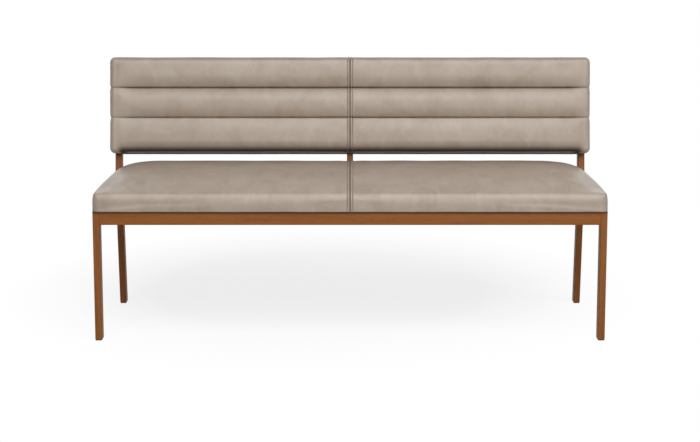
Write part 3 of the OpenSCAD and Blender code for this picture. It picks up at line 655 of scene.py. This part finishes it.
def speckled_material(name, colour, spread, speck, rough, relief=None, metallic=0.0,
                      along=None):
    """Pale wood with its grain along an axis, steel, plastic and thread. speck is a noise, and
    rough a value or the ends of a range."""
    n = Nodes(name)
    specks = n.noise(*speck, stretch=grain_along(along, PALE_GRAIN))
    stops = [(at, tuple(min(1.0, v * share) for v in srgb(*colour)[:3]) + (1.0,))
             for at, share in ((0.3, 1 - spread), (0.7, 1 + spread))]
    n.link("Base Color", n.ramp(specks, stops))
    n.link("Metallic", metallic)
    n.link("Roughness", rough if isinstance(rough, float) else n.remap(specks, 0.3, 0.7, *rough))
    if relief:
        n.link("Normal", n.bump(specks, *relief))
    return n.material


def cloth_material():
    """Black non-woven lining cloth with a faint press pattern."""
    n = Nodes("black_lining")
    fibres = n.noise(700, 4, 0.7)
    dots = n.cells(420)
    n.link("Base Color", n.ramp(fibres, [(0.3, srgb(24, 23, 23)), (0.7, srgb(44, 42, 41))]))
    n.link("Roughness", n.remap(fibres, 0.3, 0.7, 0.75, 0.95))
    n.link("Normal", n.bump(dots, 0.0003, 0.6))
    return n.material


LEATHER_LOOK = leather_material()
# The rails and the front legs carry the painted shadow of the seat below its foot; walnut_z has
# none
WOOD_LOOKS = [wood_material("walnut_x", 0, SEAT_FOOT), wood_material("walnut_y", 1, SEAT_FOOT),
              wood_material("walnut_z", 2), wood_material("walnut_leg", 2, SEAT_FOOT)]
PALE_WOOD = (0.18, (120, 4, 0.6), (0.55, 0.7), (0.0003, 0.3))
BEECH_LOOKS = [speckled_material("beech_" + axis, (205, 178, 140), *PALE_WOOD, along=k)
               for k, axis in enumerate("xyz")]
PLY_LOOK = speckled_material("plywood", (196, 166, 122), *PALE_WOOD, along=0)
STEEL_LOOK = speckled_material("zinc_steel", (186, 184, 178), 0.12, (260, 3, 0.6),
                               (0.28, 0.45), metallic=1.0)
PLASTIC_LOOK = speckled_material("glide_plastic", (46, 36, 30), 0.2, (600, 3, 0.6),
                                 (0.45, 0.6), (0.0001, 0.3))
CLOTH_LOOK = cloth_material()
THREAD_LOOK = speckled_material("seam_thread", (150, 134, 118), 0.2, (2600, 2, 0.6), 0.6,
                                (0.0001, 0.4))


def pair(name):
    return [name + "_left", name + "_right"]


# Which look each CAD node that stays visible wears
CAD_LOOKS = {
    WOOD_LOOKS[0]: ["front_rail", "rear_rail"],
    WOOD_LOOKS[1]: [*pair("side_rail"), *pair("cross_rail"), "cross_rail_middle"],
    WOOD_LOOKS[2]: [*pair("rear_leg"), "middle_post"],
    WOOD_LOOKS[3]: pair("front_leg"),
    BEECH_LOOKS[0]: [*pair("back_top_rail"), *pair("back_bottom_rail"), "back_dowels"],
    BEECH_LOOKS[1]: ["frame_dowels"],
    BEECH_LOOKS[2]: ["corner_blocks"],
    PLY_LOOK: ["seat_deck", "back_panel", "back_rear_board"],
    STEEL_LOOK: ["corner_block_screws", "middle_post_screw", "seat_tee_nuts", "seat_bolts",
                 "back_panel_screws"],
    PLASTIC_LOOK: ["foot_glides"],
}
for look, names in CAD_LOOKS.items():
    for name in names:
        slots = nodes[name].data.materials
        slots.clear()
        slots.append(look)


# Pads
SEAT_STEP = 6 * MM
BACK_STEP_A = 6 * MM
BACK_STEP_B = 4 * MM
COARSE_STEP = 9 * MM
COARSE_TURNS = 4
COARSE_SEAM = np.array([0, 8, 17, 26]) * MM
COARSE_CREASE = np.array([3.5, 8, 15]) * MM
COARSE_LOW = np.array([0, 1.8, 3.5, 4, 8, 16, 26, 37]) * MM
STITCH_COLUMN = int(np.argmin(np.abs(SEAM_LINES - STITCH_OFF)))

# Slack in the leather: wave length and height of its broad waves and of the puckers that
# fade away from the seams
BROAD_WAVE, BROAD_RISE = 75 * MM, 0.7 * MM
PUCKER_WAVE, PUCKER_RISE, PUCKER_FADE = 16 * MM, 0.5 * MM, 14 * MM
SEAM_CALM = 3 * MM
FIXED_FADE = 4 * MM
PAD_SEEDS = (7, 27)
NO_AREA = 1e-12
PANEL_SEEDS = (3, 41)


def vertex_normals(verts, faces):
    """Normals of the vertices of a mesh whose quads face outward."""
    quads = np.array([f for f in faces if len(f) == 4])
    corners = verts[quads]
    flat = np.cross(corners[:, 2] - corners[:, 0], corners[:, 3] - corners[:, 1])
    normals = np.zeros_like(verts)
    for k in range(4):
        np.add.at(normals, quads[:, k], flat)
    return normals / np.maximum(np.linalg.norm(normals, axis=1), NO_AREA)[:, None]


def slack(points, seam_off, seed):
    """How far the leather stands out at each point, by its distance from the seams."""
    broad, pucker = (
        np.array([noise.noise(Vector(p) / wave + Vector(shift)) for p in points])
        for wave, shift in ((BROAD_WAVE, (seed, 0, 0)), (PUCKER_WAVE, (0, seed, 0))))
    fade = np.exp(-seam_off / PUCKER_FADE)
    calm = 1 - np.exp(-(points[:, 0] / SEAM_CALM) ** 2)
    return (BROAD_RISE * broad + PUCKER_RISE * pucker * fade) * calm


def seat_seam_off(points):
    return np.minimum(np.abs(points[:, 0]), np.abs(points[:, 2] - SEAT_FOOT))


def back_seam_off(points):
    return np.minimum(np.abs(points[:, 0]), off_seams(points[:, 1]))


# Painted shade on the leather, standing in for the shade in its seams, creases and recesses: how
# dark it is painted and how far that reaches, in the seams, along the top and low edge of the
# back, and at the lip and the rear of the seat
SEAM_DARK = 0.45
CREASE_DARK, CREASE_DARK_W = 0.12, 1.1 * MM
TOP_DARK = (0.28, 11 * MM, 3 * MM)
BELOW_DARK, BELOW_DARK_W = 0.18, 9 * MM
ROLL_DARK = (1, 24 * MM, 9 * MM)
EDGE_DARK = (1, 1.7 * MM, 1.1 * MM)
LIP_DARK = (0.4, 1 * MM, 0)
REAR_DARK = (0.35, 215 * MM, 110 * MM)


# Painted shade in the seam's slot and in the stitched furrow beside it
def seam_painted_shade(points):
    away = np.abs(points[:, 0])
    return SEAM_DARK * np.maximum(bell(away, SEAM_SLOT), bell(away - STITCH_OFF, FURROW_W))


def falling(d, most, first, last):
    """most at the distance last and nearer, falling to 0 at the distance first."""
    return most * np.clip((first - d) / (first - last), 0, 1)


# Painted shade on the seat: at the lip over the rails, towards the rear under the back, and in
# the seam
def seat_painted_shade(points):
    lip = falling(points[:, 2] - SEAT_FOOT, *LIP_DARK)
    rear = falling(SEAT_REAR - points[:, 1], *REAR_DARK)
    return np.maximum.reduce([seam_painted_shade(points), lip, rear])


# Painted shade on the back: in the seams and creases, below the upper seam where the upper
# channel overhangs, under the rolled lowest channel and on the frame's edge below it (not on the
# end bands), and along the top edge
def back_painted_shade(points):
    b = points[:, 1]
    crease = CREASE_DARK * bell(off_seams(b), CREASE_DARK_W)
    below = np.where(b < SEAM_HIGH, BELOW_DARK * bell(SEAM_HIGH - b, BELOW_DARK_W), 0)
    low = b - BACK_LOW
    rolled = falling(low, *ROLL_DARK)
    on_face = points[:, 2] > BACK_CREST - EDGE_DEEP - EDGE_R - CLEAR
    edge = falling(low, *EDGE_DARK) * on_face
    rolled = np.where(low > LOW_FROM - CLEAR, rolled, edge)
    rolled = rolled * past_band(BACK_HALF - points[:, 0], BAND_OUT)
    top = falling(BACK_TOP - b, *TOP_DARK)
    return np.maximum.reduce([seam_painted_shade(points), crease, below, rolled, top])


def seam_run(grid, rows, column):
    """The line beside the seam, from the lowest row in front over the face to the rear."""
    front = [row[column] for row in rows[::-1]]
    return np.array(front + list(grid[:, column]) + [row[-1 - column] for row in rows])


def build_pad(name, leaning, grid, rows_of, settled, seam_off, painted_shade_of, fixed_below):
    """Both halves of a pad as closed solids with their seam relief, settled swelling and
    slack, and the run and outward directions of the stitched furrow on each."""
    outer, inner = rows_of(grid)
    flat = np.concatenate([grid.reshape(-1, 3)] + outer)
    # Painted shade at each point of the face and the outer rows; the inner rows get none
    painted_shade = np.concatenate([painted_shade_of(flat), np.zeros(len(inner) * len(inner[0]))])

    def grid_and_rows(points):
        on_face = grid.size // 3
        return (points[:on_face].reshape(grid.shape),
                list(points[on_face:].reshape(len(outer), -1, 3)))

    if settled is not None:
        motion = spread_motion(flat, *settled)
        motion[flat[:, 0] < TINY, 0] = 0
        flat = flat + motion
    pieces, runs = [], []
    for side, sign, seed in zip(("left", "right"), (-1, 1), PAD_SEEDS):
        face, sides = grid_and_rows(flat)
        start, faces = closed_half(face, sides + inner)
        normals = vertex_normals(start, faces)[:len(flat)]
        rise = slack(flat, seam_off(flat), seed)
        rise += seam_profile(flat[:, 0]) * np.clip((flat[:, 2] - fixed_below) / FIXED_FADE, 0, 1)
        rise[flat[:, 2] < fixed_below] = 0
        face, sides = grid_and_rows(flat + normals * rise[:, None])
        verts, faces = closed_half(face, sides + inner, sign < 0)
        piece = make_piece(f"{name}_{side}", pad_to_world(verts, leaning), faces,
                           LEATHER_LOOK, painted_shade=painted_shade)
        pieces.append(piece)
        lines = [seam_run(face, sides, STITCH_COLUMN + k) * np.array([sign, 1, 1])
                 for k in (-1, 0, 1)]
        across = (lines[2] - lines[0]) * sign
        along = np.gradient(lines[1], axis=0)
        out = np.cross(across, along)
        out /= np.linalg.norm(out, axis=1)[:, None]
        runs.append((pad_to_world(lines[1], leaning), pad_to_world(out, leaning)))
    return pieces, runs


def seat_pinned(p):
    return p[2] < SEAT_FOOT + SEAT_SIDE / 4 or abs(p[0]) < TINY


def back_pinned(p):
    return (off_seams(p[1]) < TINY or abs(p[0]) < TINY or p[2] < POST_FACE
            or p[1] < BACK_LOW + LOW_ROLL)


seat_settled = settle("seat_settling", seat_grid(COARSE_STEP, COARSE_SEAM, COARSE_TURNS),
                      seat_rows, seat_pinned)
back_settled = settle("back_settling", back_grid(COARSE_STEP, COARSE_STEP, COARSE_SEAM,
                                                 COARSE_CREASE, COARSE_LOW, COARSE_TURNS),
                      back_rows, back_pinned)

seat_pads, seat_runs = build_pad("seat_pad", False, seat_grid(SEAT_STEP, SEAM_LINES),
                                 seat_rows, seat_settled, seat_seam_off, seat_painted_shade, SEAT_FOOT)
back_pads, back_runs = build_pad(
    "back_pad", True,
    back_grid(BACK_STEP_A, BACK_STEP_B, SEAM_LINES, CREASE_LINES, LOW_LINES),
    back_rows, back_settled, back_seam_off, back_painted_shade, BACK_REAR + REAR_EDGE)
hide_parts("seat_cover_left", "seat_foam")
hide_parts("seat_cover_right")
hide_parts("back_cover_left", "channel_fill_lower", "channel_fill_middle",
            "channel_fill_upper", "back_slab_foam", "back_edge_foam")
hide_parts("back_cover_right")

# Thread and staples. Both are short rounded bars that dip at their ends.
STITCH_PITCH = 5.4 * MM
STITCH_LENGTH = 4.3 * MM
THREAD_R = 0.5 * MM
BAR_SIDES = 6
BAR_STATIONS = [(-0.5, 0.55, -0.7), (-0.38, 0.9, 0.1), (0, 1, 0.45), (0.38, 0.9, 0.1),
                (0.5, 0.55, -0.7)]


def bar(length, radius):
    """Points of a bar along its first axis, with its third axis outward, and its faces."""
    turns = [2 * math.pi * k / BAR_SIDES for k in range(BAR_SIDES)]
    verts = [(share * length, radius * swell * math.cos(t), radius * (rise + swell * math.sin(t)))
             for share, swell, rise in BAR_STATIONS for t in turns]
    rings = [[*ring, ring[0]] for ring in np.arange(len(verts)).reshape(-1, BAR_SIDES).tolist()]
    faces = [(low[k], high[k], high[k + 1], low[k + 1])
             for low, high in zip(rings, rings[1:]) for k in range(BAR_SIDES)]
    return np.array(verts), faces + [tuple(rings[0][:-1]), tuple(rings[-1][-2::-1])]


def bars_at(name, places, length, radius, material):
    """One piece made of a bar at each place: its middle, direction and outward direction."""
    shape, shape_faces = bar(length, radius)
    verts, faces = [], []
    for n, (middle, along, out) in enumerate(places):
        along = along / np.linalg.norm(along)
        out = out - along * (out @ along)
        out /= np.linalg.norm(out)
        axes = np.stack([along, np.cross(out, along), out])
        verts.append(middle + shape @ axes)
        faces += [tuple(v + n * len(shape) for v in f) for f in shape_faces]
    piece = make_piece(name, np.concatenate(verts), faces, material, weld=False)
    return piece


def along_run(points, outs, pitch):
    """Places at an even pitch along a run of points."""
    steps = np.linalg.norm(np.diff(points, axis=0), axis=1)
    reach = np.concatenate([[0], np.cumsum(steps)])
    places = []
    for at in np.arange(pitch, reach[-1] - pitch, pitch):
        middle, ahead, behind, out = (
            np.array([np.interp(s, reach, line[:, k]) for k in range(3)])
            for s, line in ((at, points), (at + pitch / 4, points),
                            (at - pitch / 4, points), (at, outs)))
        places.append((middle, ahead - behind, out))
    return places


for name, runs in (("seat_seam_thread", seat_runs), ("back_seam_thread", back_runs)):
    places = [place for run in runs for place in along_run(*run, STITCH_PITCH)]
    bars_at(name, places, STITCH_LENGTH, THREAD_R, THREAD_LOOK)

# The leather panel that closes the back from behind, over its thin foam
PANEL_ROLL = 4 * MM
PANEL_CROWN = 1.6 * MM
PANEL_REACH = 130 * MM
PANEL_POWER = 2.4
PANEL_CALM = 60 * MM
PANEL_STEP = 12 * MM
BOARD_REAR = pad_box("back_rear_board", True)[0][2]
panel_corner = BACK_CORNER - REAR_EDGE - CLEAR
panel_half = BACK_HALF - REAR_EDGE - CLEAR
panel_low = BACK_LOW + CLEAR
panel_top = BACK_TOP - REAR_EDGE - CLEAR


def rear_panel():
    edge = circle_lines(PANEL_ROLL, 5)
    a_lines = np.hstack([0, even_lines(0, panel_half - PANEL_ROLL, PANEL_STEP),
                         panel_half - edge[::-1]])
    b_lines = np.hstack([
        panel_low + edge, even_lines(panel_low + PANEL_ROLL, panel_top - PANEL_ROLL,
                                     PANEL_STEP), panel_top - edge[::-1]])
    off = np.minimum(b_lines - panel_low, panel_top - b_lines)
    ends = corner_run(off, panel_corner)
    a = spread_a(a_lines, ends, panel_half, 0)
    da = panel_half - ends[:, None] - a
    db = np.broadcast_to(off[:, None], a.shape)
    c = (BACK_REAR + PANEL_ROLL * (1 - roll(da, PANEL_ROLL) * roll(db, PANEL_ROLL))
         - PANEL_CROWN * crown(da, PANEL_REACH, PANEL_POWER)
         * crown(db, PANEL_REACH, PANEL_POWER))
    grid = np.stack([a, np.broadcast_to(b_lines[:, None], a.shape), c], -1)
    path = border(grid)
    rows = [np.column_stack([path[:, :2], np.full(len(path), BOARD_REAR - CLEAR)])]
    verts, faces = closed_half(grid, rows)
    faces = [tuple(reversed(f)) for f in faces[:-1]]
    count, on_face = len(verts), da.size
    normals = vertex_normals(verts, faces)
    sides = []
    for sign, seed in zip((1, -1), PANEL_SEEDS):
        rise = slack(verts, np.full(count, np.inf), seed)
        rise[on_face:] = 0
        rise[:on_face] *= roll(da, PANEL_CALM).ravel()
        sides.append((verts + normals * rise[:, None]) * np.array([sign, 1, 1]))
    faces += [tuple(v + count for v in reversed(f)) for f in faces]
    piece = make_piece("rear_panel", pad_to_world(np.concatenate(sides), True), faces,
                       LEATHER_LOOK)
    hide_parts("back_rear_cover", "back_rear_foam")


rear_panel()

# Sheets of black lining cloth, folded under along their edges and stapled
CLOTH_T = 0.5 * MM
HEM_T = 0.9 * MM
HEM_W = 14 * MM
SHEET_STEP = 12 * MM
STAPLE_PITCH = 42 * MM
STAPLE_IN = 7 * MM
STAPLE_LENGTH = 10 * MM
STAPLE_R = 0.45 * MM


def lines_through(low, high, stops):
    """Lines from low to high that pass through the stops."""
    marks = sorted({low, high, *[s for s in stops if low < s < high]})
    return np.array([low] + [v for first, last in zip(marks, marks[1:])
                             for v in [*even_lines(first, last, SHEET_STEP), last]])


def cloth_sheet(name, low, high, holes, top, thickness, place):
    """A thin closed sheet with cut-outs. top and thickness are functions of a and b."""
    a_lines, b_lines = (
        lines_through(low[k], high[k], [low[k] + HEM_W, high[k] - HEM_W]
                      + [v for h in holes for v in h[2 * k:2 * k + 2]])
        for k in (0, 1))
    a, b = np.meshgrid(a_lines, b_lines)
    upper = np.stack([a, b, top(a, b)], -1).reshape(-1, 3)
    lower = upper - np.stack([0 * a, 0 * a, thickness(a, b)], -1).reshape(-1, 3)
    nx, ny = len(a_lines), len(b_lines)
    quads = []
    for corner in (j * nx + i for j in range(ny - 1) for i in range(nx - 1)):
        x, y = (upper[corner] + upper[corner + nx + 1])[:2] / 2
        if not any(h[0] < x < h[1] and h[2] < y < h[3] for h in holes):
            quads.append((corner, corner + 1, corner + nx + 1, corner + nx))
    count = len(upper)
    edges = dict.fromkeys((q[k], q[(k + 1) % 4]) for q in quads for k in range(4))
    rim = [(u, u + count, v + count, v) for u, v in edges if (v, u) not in edges]
    faces = quads + [tuple(v + count for v in reversed(q)) for q in quads] + rim
    used = sorted({v for f in faces for v in f})
    renumber = {v: k for k, v in enumerate(used)}
    verts = np.concatenate([upper, lower])[used]
    piece = make_piece(name, place(verts), [tuple(renumber[v] for v in f) for f in faces],
                       CLOTH_LOOK, weld=False)
    return piece


def staple_down(name, low, high, axes, height, place):
    """Staples along the sides of a sheet that run along the axes."""
    down = place(np.array([0, 0, -1.0]))
    places = []
    for k in axes:
        count = round((high[k] - low[k] - 2 * STAPLE_IN) / STAPLE_PITCH)
        for side in (low[1 - k] + STAPLE_IN, high[1 - k] - STAPLE_IN):
            for at in np.linspace(low[k] + 2 * STAPLE_IN, high[k] - 2 * STAPLE_IN, count):
                spot = (side, at, height) if k else (at, side, height)
                places.append((place(np.array(spot)), place(np.eye(3)[k]), down))
    bars_at(name, places, STAPLE_LENGTH, STAPLE_R, STEEL_LOOK)


# Under the seat the cloth sags a little in each bay between the cross rails
lining_low, lining_high = pad_box("seat_dust_cover")
SEAT_SAG = 3.5 * MM
SAG_POWER = 0.7
bay_ends = [lining_low[0] + HEM_W]
for rail in ("cross_rail_left", "cross_rail_middle", "cross_rail_right"):
    rail_low, rail_high = pad_box(rail)
    bay_ends += [rail_low[0], rail_high[0]]
bay_ends.append(lining_high[0] - HEM_W)


def seat_sag(a, b):
    across = np.zeros_like(a)
    for first, last in zip(bay_ends[::2], bay_ends[1::2]):
        share = np.clip((a - first) / (last - first), 0, 1)
        across = np.maximum(across, np.sin(math.pi * share))
    first, last = lining_low[1] + HEM_W, lining_high[1] - HEM_W
    along = np.sin(math.pi * np.clip((b - first) / (last - first), 0, 1))
    return SEAT_SAG * across * along ** SAG_POWER


def seat_cloth_t(a, b):
    edge = np.minimum.reduce([a - lining_low[0], lining_high[0] - a,
                              b - lining_low[1], lining_high[1] - b])
    return np.where(edge < HEM_W + TINY, HEM_T, CLOTH_T)


def bolt_holes():
    """Square cut-outs in the cloth round the four bolts of the seat."""
    points = np.array([v.co for v in nodes["seat_bolts"].data.vertices])
    holes = []
    for sx in (-1, 1):
        for rear in (False, True):
            own = points[(points[:, 0] * sx > 0) & ((points[:, 1] > 0) == rear)]
            low, high = own.min(0), own.max(0)
            holes.append((low[0], high[0], low[1], high[1]))
    return holes


seat_cloth = cloth_sheet("seat_lining", lining_low, lining_high, bolt_holes(),
                         lambda a, b: lining_high[2] - CLOSE - seat_sag(a, b),
                         seat_cloth_t, lambda p: p)
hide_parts("seat_dust_cover")
staple_down("seat_lining_staples", lining_low, lining_high, (0, 1),
            lining_high[2] - CLOSE - HEM_T, lambda p: p)

# Under the back the strip runs from the front leather to the rear panel. Its pad axes are
# a and c, and it hangs from the lower rails.
strip_low, strip_high = pad_box("back_dust_strip", True)
strip_a, strip_c = strip_high[0], (strip_low[2], strip_high[2])
POST_GAP = 0.4 * MM


def under_back(points):
    """Points given as a, c and the height b, in world axes."""
    points = np.asarray(points, float)
    return pad_to_world(points[..., [0, 2, 1]], True)


post_holes = []
for post in ("rear_leg_left", "middle_post", "rear_leg_right"):
    post_low, post_high = pad_box(post, True)
    post_holes.append((post_low[0] - POST_GAP, post_high[0] + POST_GAP,
                       POST_REAR - POST_GAP, strip_c[1] + CLEAR))
strip_corners = ((-strip_a, strip_c[0]), (strip_a, strip_c[1]))
strip = cloth_sheet("back_lining", *strip_corners, post_holes,
                    lambda a, c: np.full_like(a, strip_high[1] - CLOSE),
                    lambda a, c: np.full_like(a, HEM_T), under_back)
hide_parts("back_dust_strip")
staple_down("back_lining_staples", *strip_corners, (0,), strip_high[1] - CLOSE - HEM_T,
            under_back)


# The stage. The floor is white all over in the picture, less the shadows near the bench:
# camera, glossy and transmission rays see it lifted towards white, and far out quite white.
FLOOR_HALF = 60
FLOOR_ALBEDO = 0.4
FLOOR_LIFT = 0.77
FLOOR_SHADED = (-0.1, 0.5)
FLOOR_SPREAD = (1.1, 1.3)
FLOOR_NEAR, FLOOR_FAR = 0.5, 1.0
WORLD_LIGHT = 0.2
SEEN_WHITE = 1.0
# Softboxes: azimuth from the front towards the right and height angle in degrees, distance,
# width, height and brightness, where white is 1
LAMPS = {
    "front_softbox": (4, 25, 6.0, 5.0, 1.8, 5.6),
    "upper_softbox": (4, 42, 6.0, 5.0, 1.8, 4.0),
    "high_softbox": (8, 60, 6.0, 4.6, 1.8, 3.1),
    "right_softbox": (52, 26, 5.4, 2.0, 2.4, 3.8),
    "rear_softbox": (180, 30, 6.0, 5.0, 2.0, 1.6),
}
LAMP_AIM = Vector((0, 0, 0.5))


def seen_share(n):
    """1 for rays from the camera or off a mirror or glass, 0 for those that light things."""
    rays = n.add("ShaderNodeLightPath").outputs
    seen = n.math("MAXIMUM", rays["Is Camera Ray"], rays["Is Glossy Ray"])
    return n.math("MAXIMUM", seen, rays["Is Transmission Ray"])


def floor_material():
    n = Nodes("white_floor")
    n.tree.nodes.remove(n.shader)
    spot = n.add("ShaderNodeTexCoord").outputs["Object"]
    off = n.vector("SUBTRACT", spot, (*FLOOR_SHADED, 0))[0]
    share = n.vector("DIVIDE", off, (*FLOOR_SPREAD, 1))[0]
    far = n.vector("LENGTH", share)["Value"]
    lift = n.remap(far, FLOOR_NEAR, FLOOR_FAR, FLOOR_LIFT, 1.0)
    seen = seen_share(n)
    share = n.math("MULTIPLY", seen, lift)
    tone = n.mix(seen, (FLOOR_ALBEDO,) * 3 + (1,), (1, 1, 1, 1))
    diffuse = n.add("ShaderNodeBsdfDiffuse", {"Color": tone})
    glow = n.add("ShaderNodeEmission", {"Strength": SEEN_WHITE})
    mix = n.add("ShaderNodeMixShader", {0: share, 1: diffuse.outputs[0], 2: glow.outputs[0]})
    n.feed(n.tree.nodes["Material Output"].inputs["Surface"], mix.outputs[0])
    return n.material


def set_world():
    """Even light from all round, and white where the camera and reflections look."""
    scene.world = bpy.data.worlds.new("studio")
    n = Nodes("studio", scene.world)
    lit = n.tree.nodes["Background"]
    n.feed(lit.inputs["Color"], (1, 1, 1, 1))
    n.feed(lit.inputs["Strength"], WORLD_LIGHT)
    white = n.add("ShaderNodeBackground", {"Color": (1, 1, 1, 1), "Strength": SEEN_WHITE})
    mix = n.add("ShaderNodeMixShader", {0: seen_share(n), 1: lit.outputs[0],
                                        2: white.outputs[0]})
    n.feed(n.tree.nodes["World Output"].inputs["Surface"], mix.outputs[0])


def softbox(name, azimuth, elevation, distance, width, height, brightness):
    light = bpy.data.lights.new(name, "AREA")
    light.shape = "RECTANGLE"
    light.size = width
    light.size_y = height
    light.energy = brightness * math.pi * width * height
    obj = in_scene(name, light)
    turn, rise = math.radians(azimuth), math.radians(elevation)
    way = Vector((math.sin(turn) * math.cos(rise), -math.cos(turn) * math.cos(rise),
                  math.sin(rise)))
    obj.location = LAMP_AIM + distance * way
    obj.rotation_euler = way.to_track_quat("Z", "Y").to_euler()


floor_mesh = bpy.data.meshes.new("floor")
floor_mesh.from_pydata([(FLOOR_HALF * x, FLOOR_HALF * y, 0)
                        for x, y in ((-1, -1), (1, -1), (1, 1), (-1, 1))], [], [(0, 1, 2, 3)])
floor_mesh.materials.append(floor_material())
in_scene("floor", floor_mesh)
set_world()
for name, settings in LAMPS.items():
    softbox(name, *settings)

camera = bpy.data.cameras.new("camera")
camera.lens = CAMERA_LENS
camera.sensor_width = CAMERA_SENSOR
camera.clip_end = CAMERA_REACH
camera_object = in_scene("camera", camera)
camera_object.location = CAMERA_PLACE
camera_object.rotation_euler = (math.pi / 2 - CAMERA_PITCH, 0, 0)
scene.camera = camera_object
scene.view_settings.view_transform = "Standard"
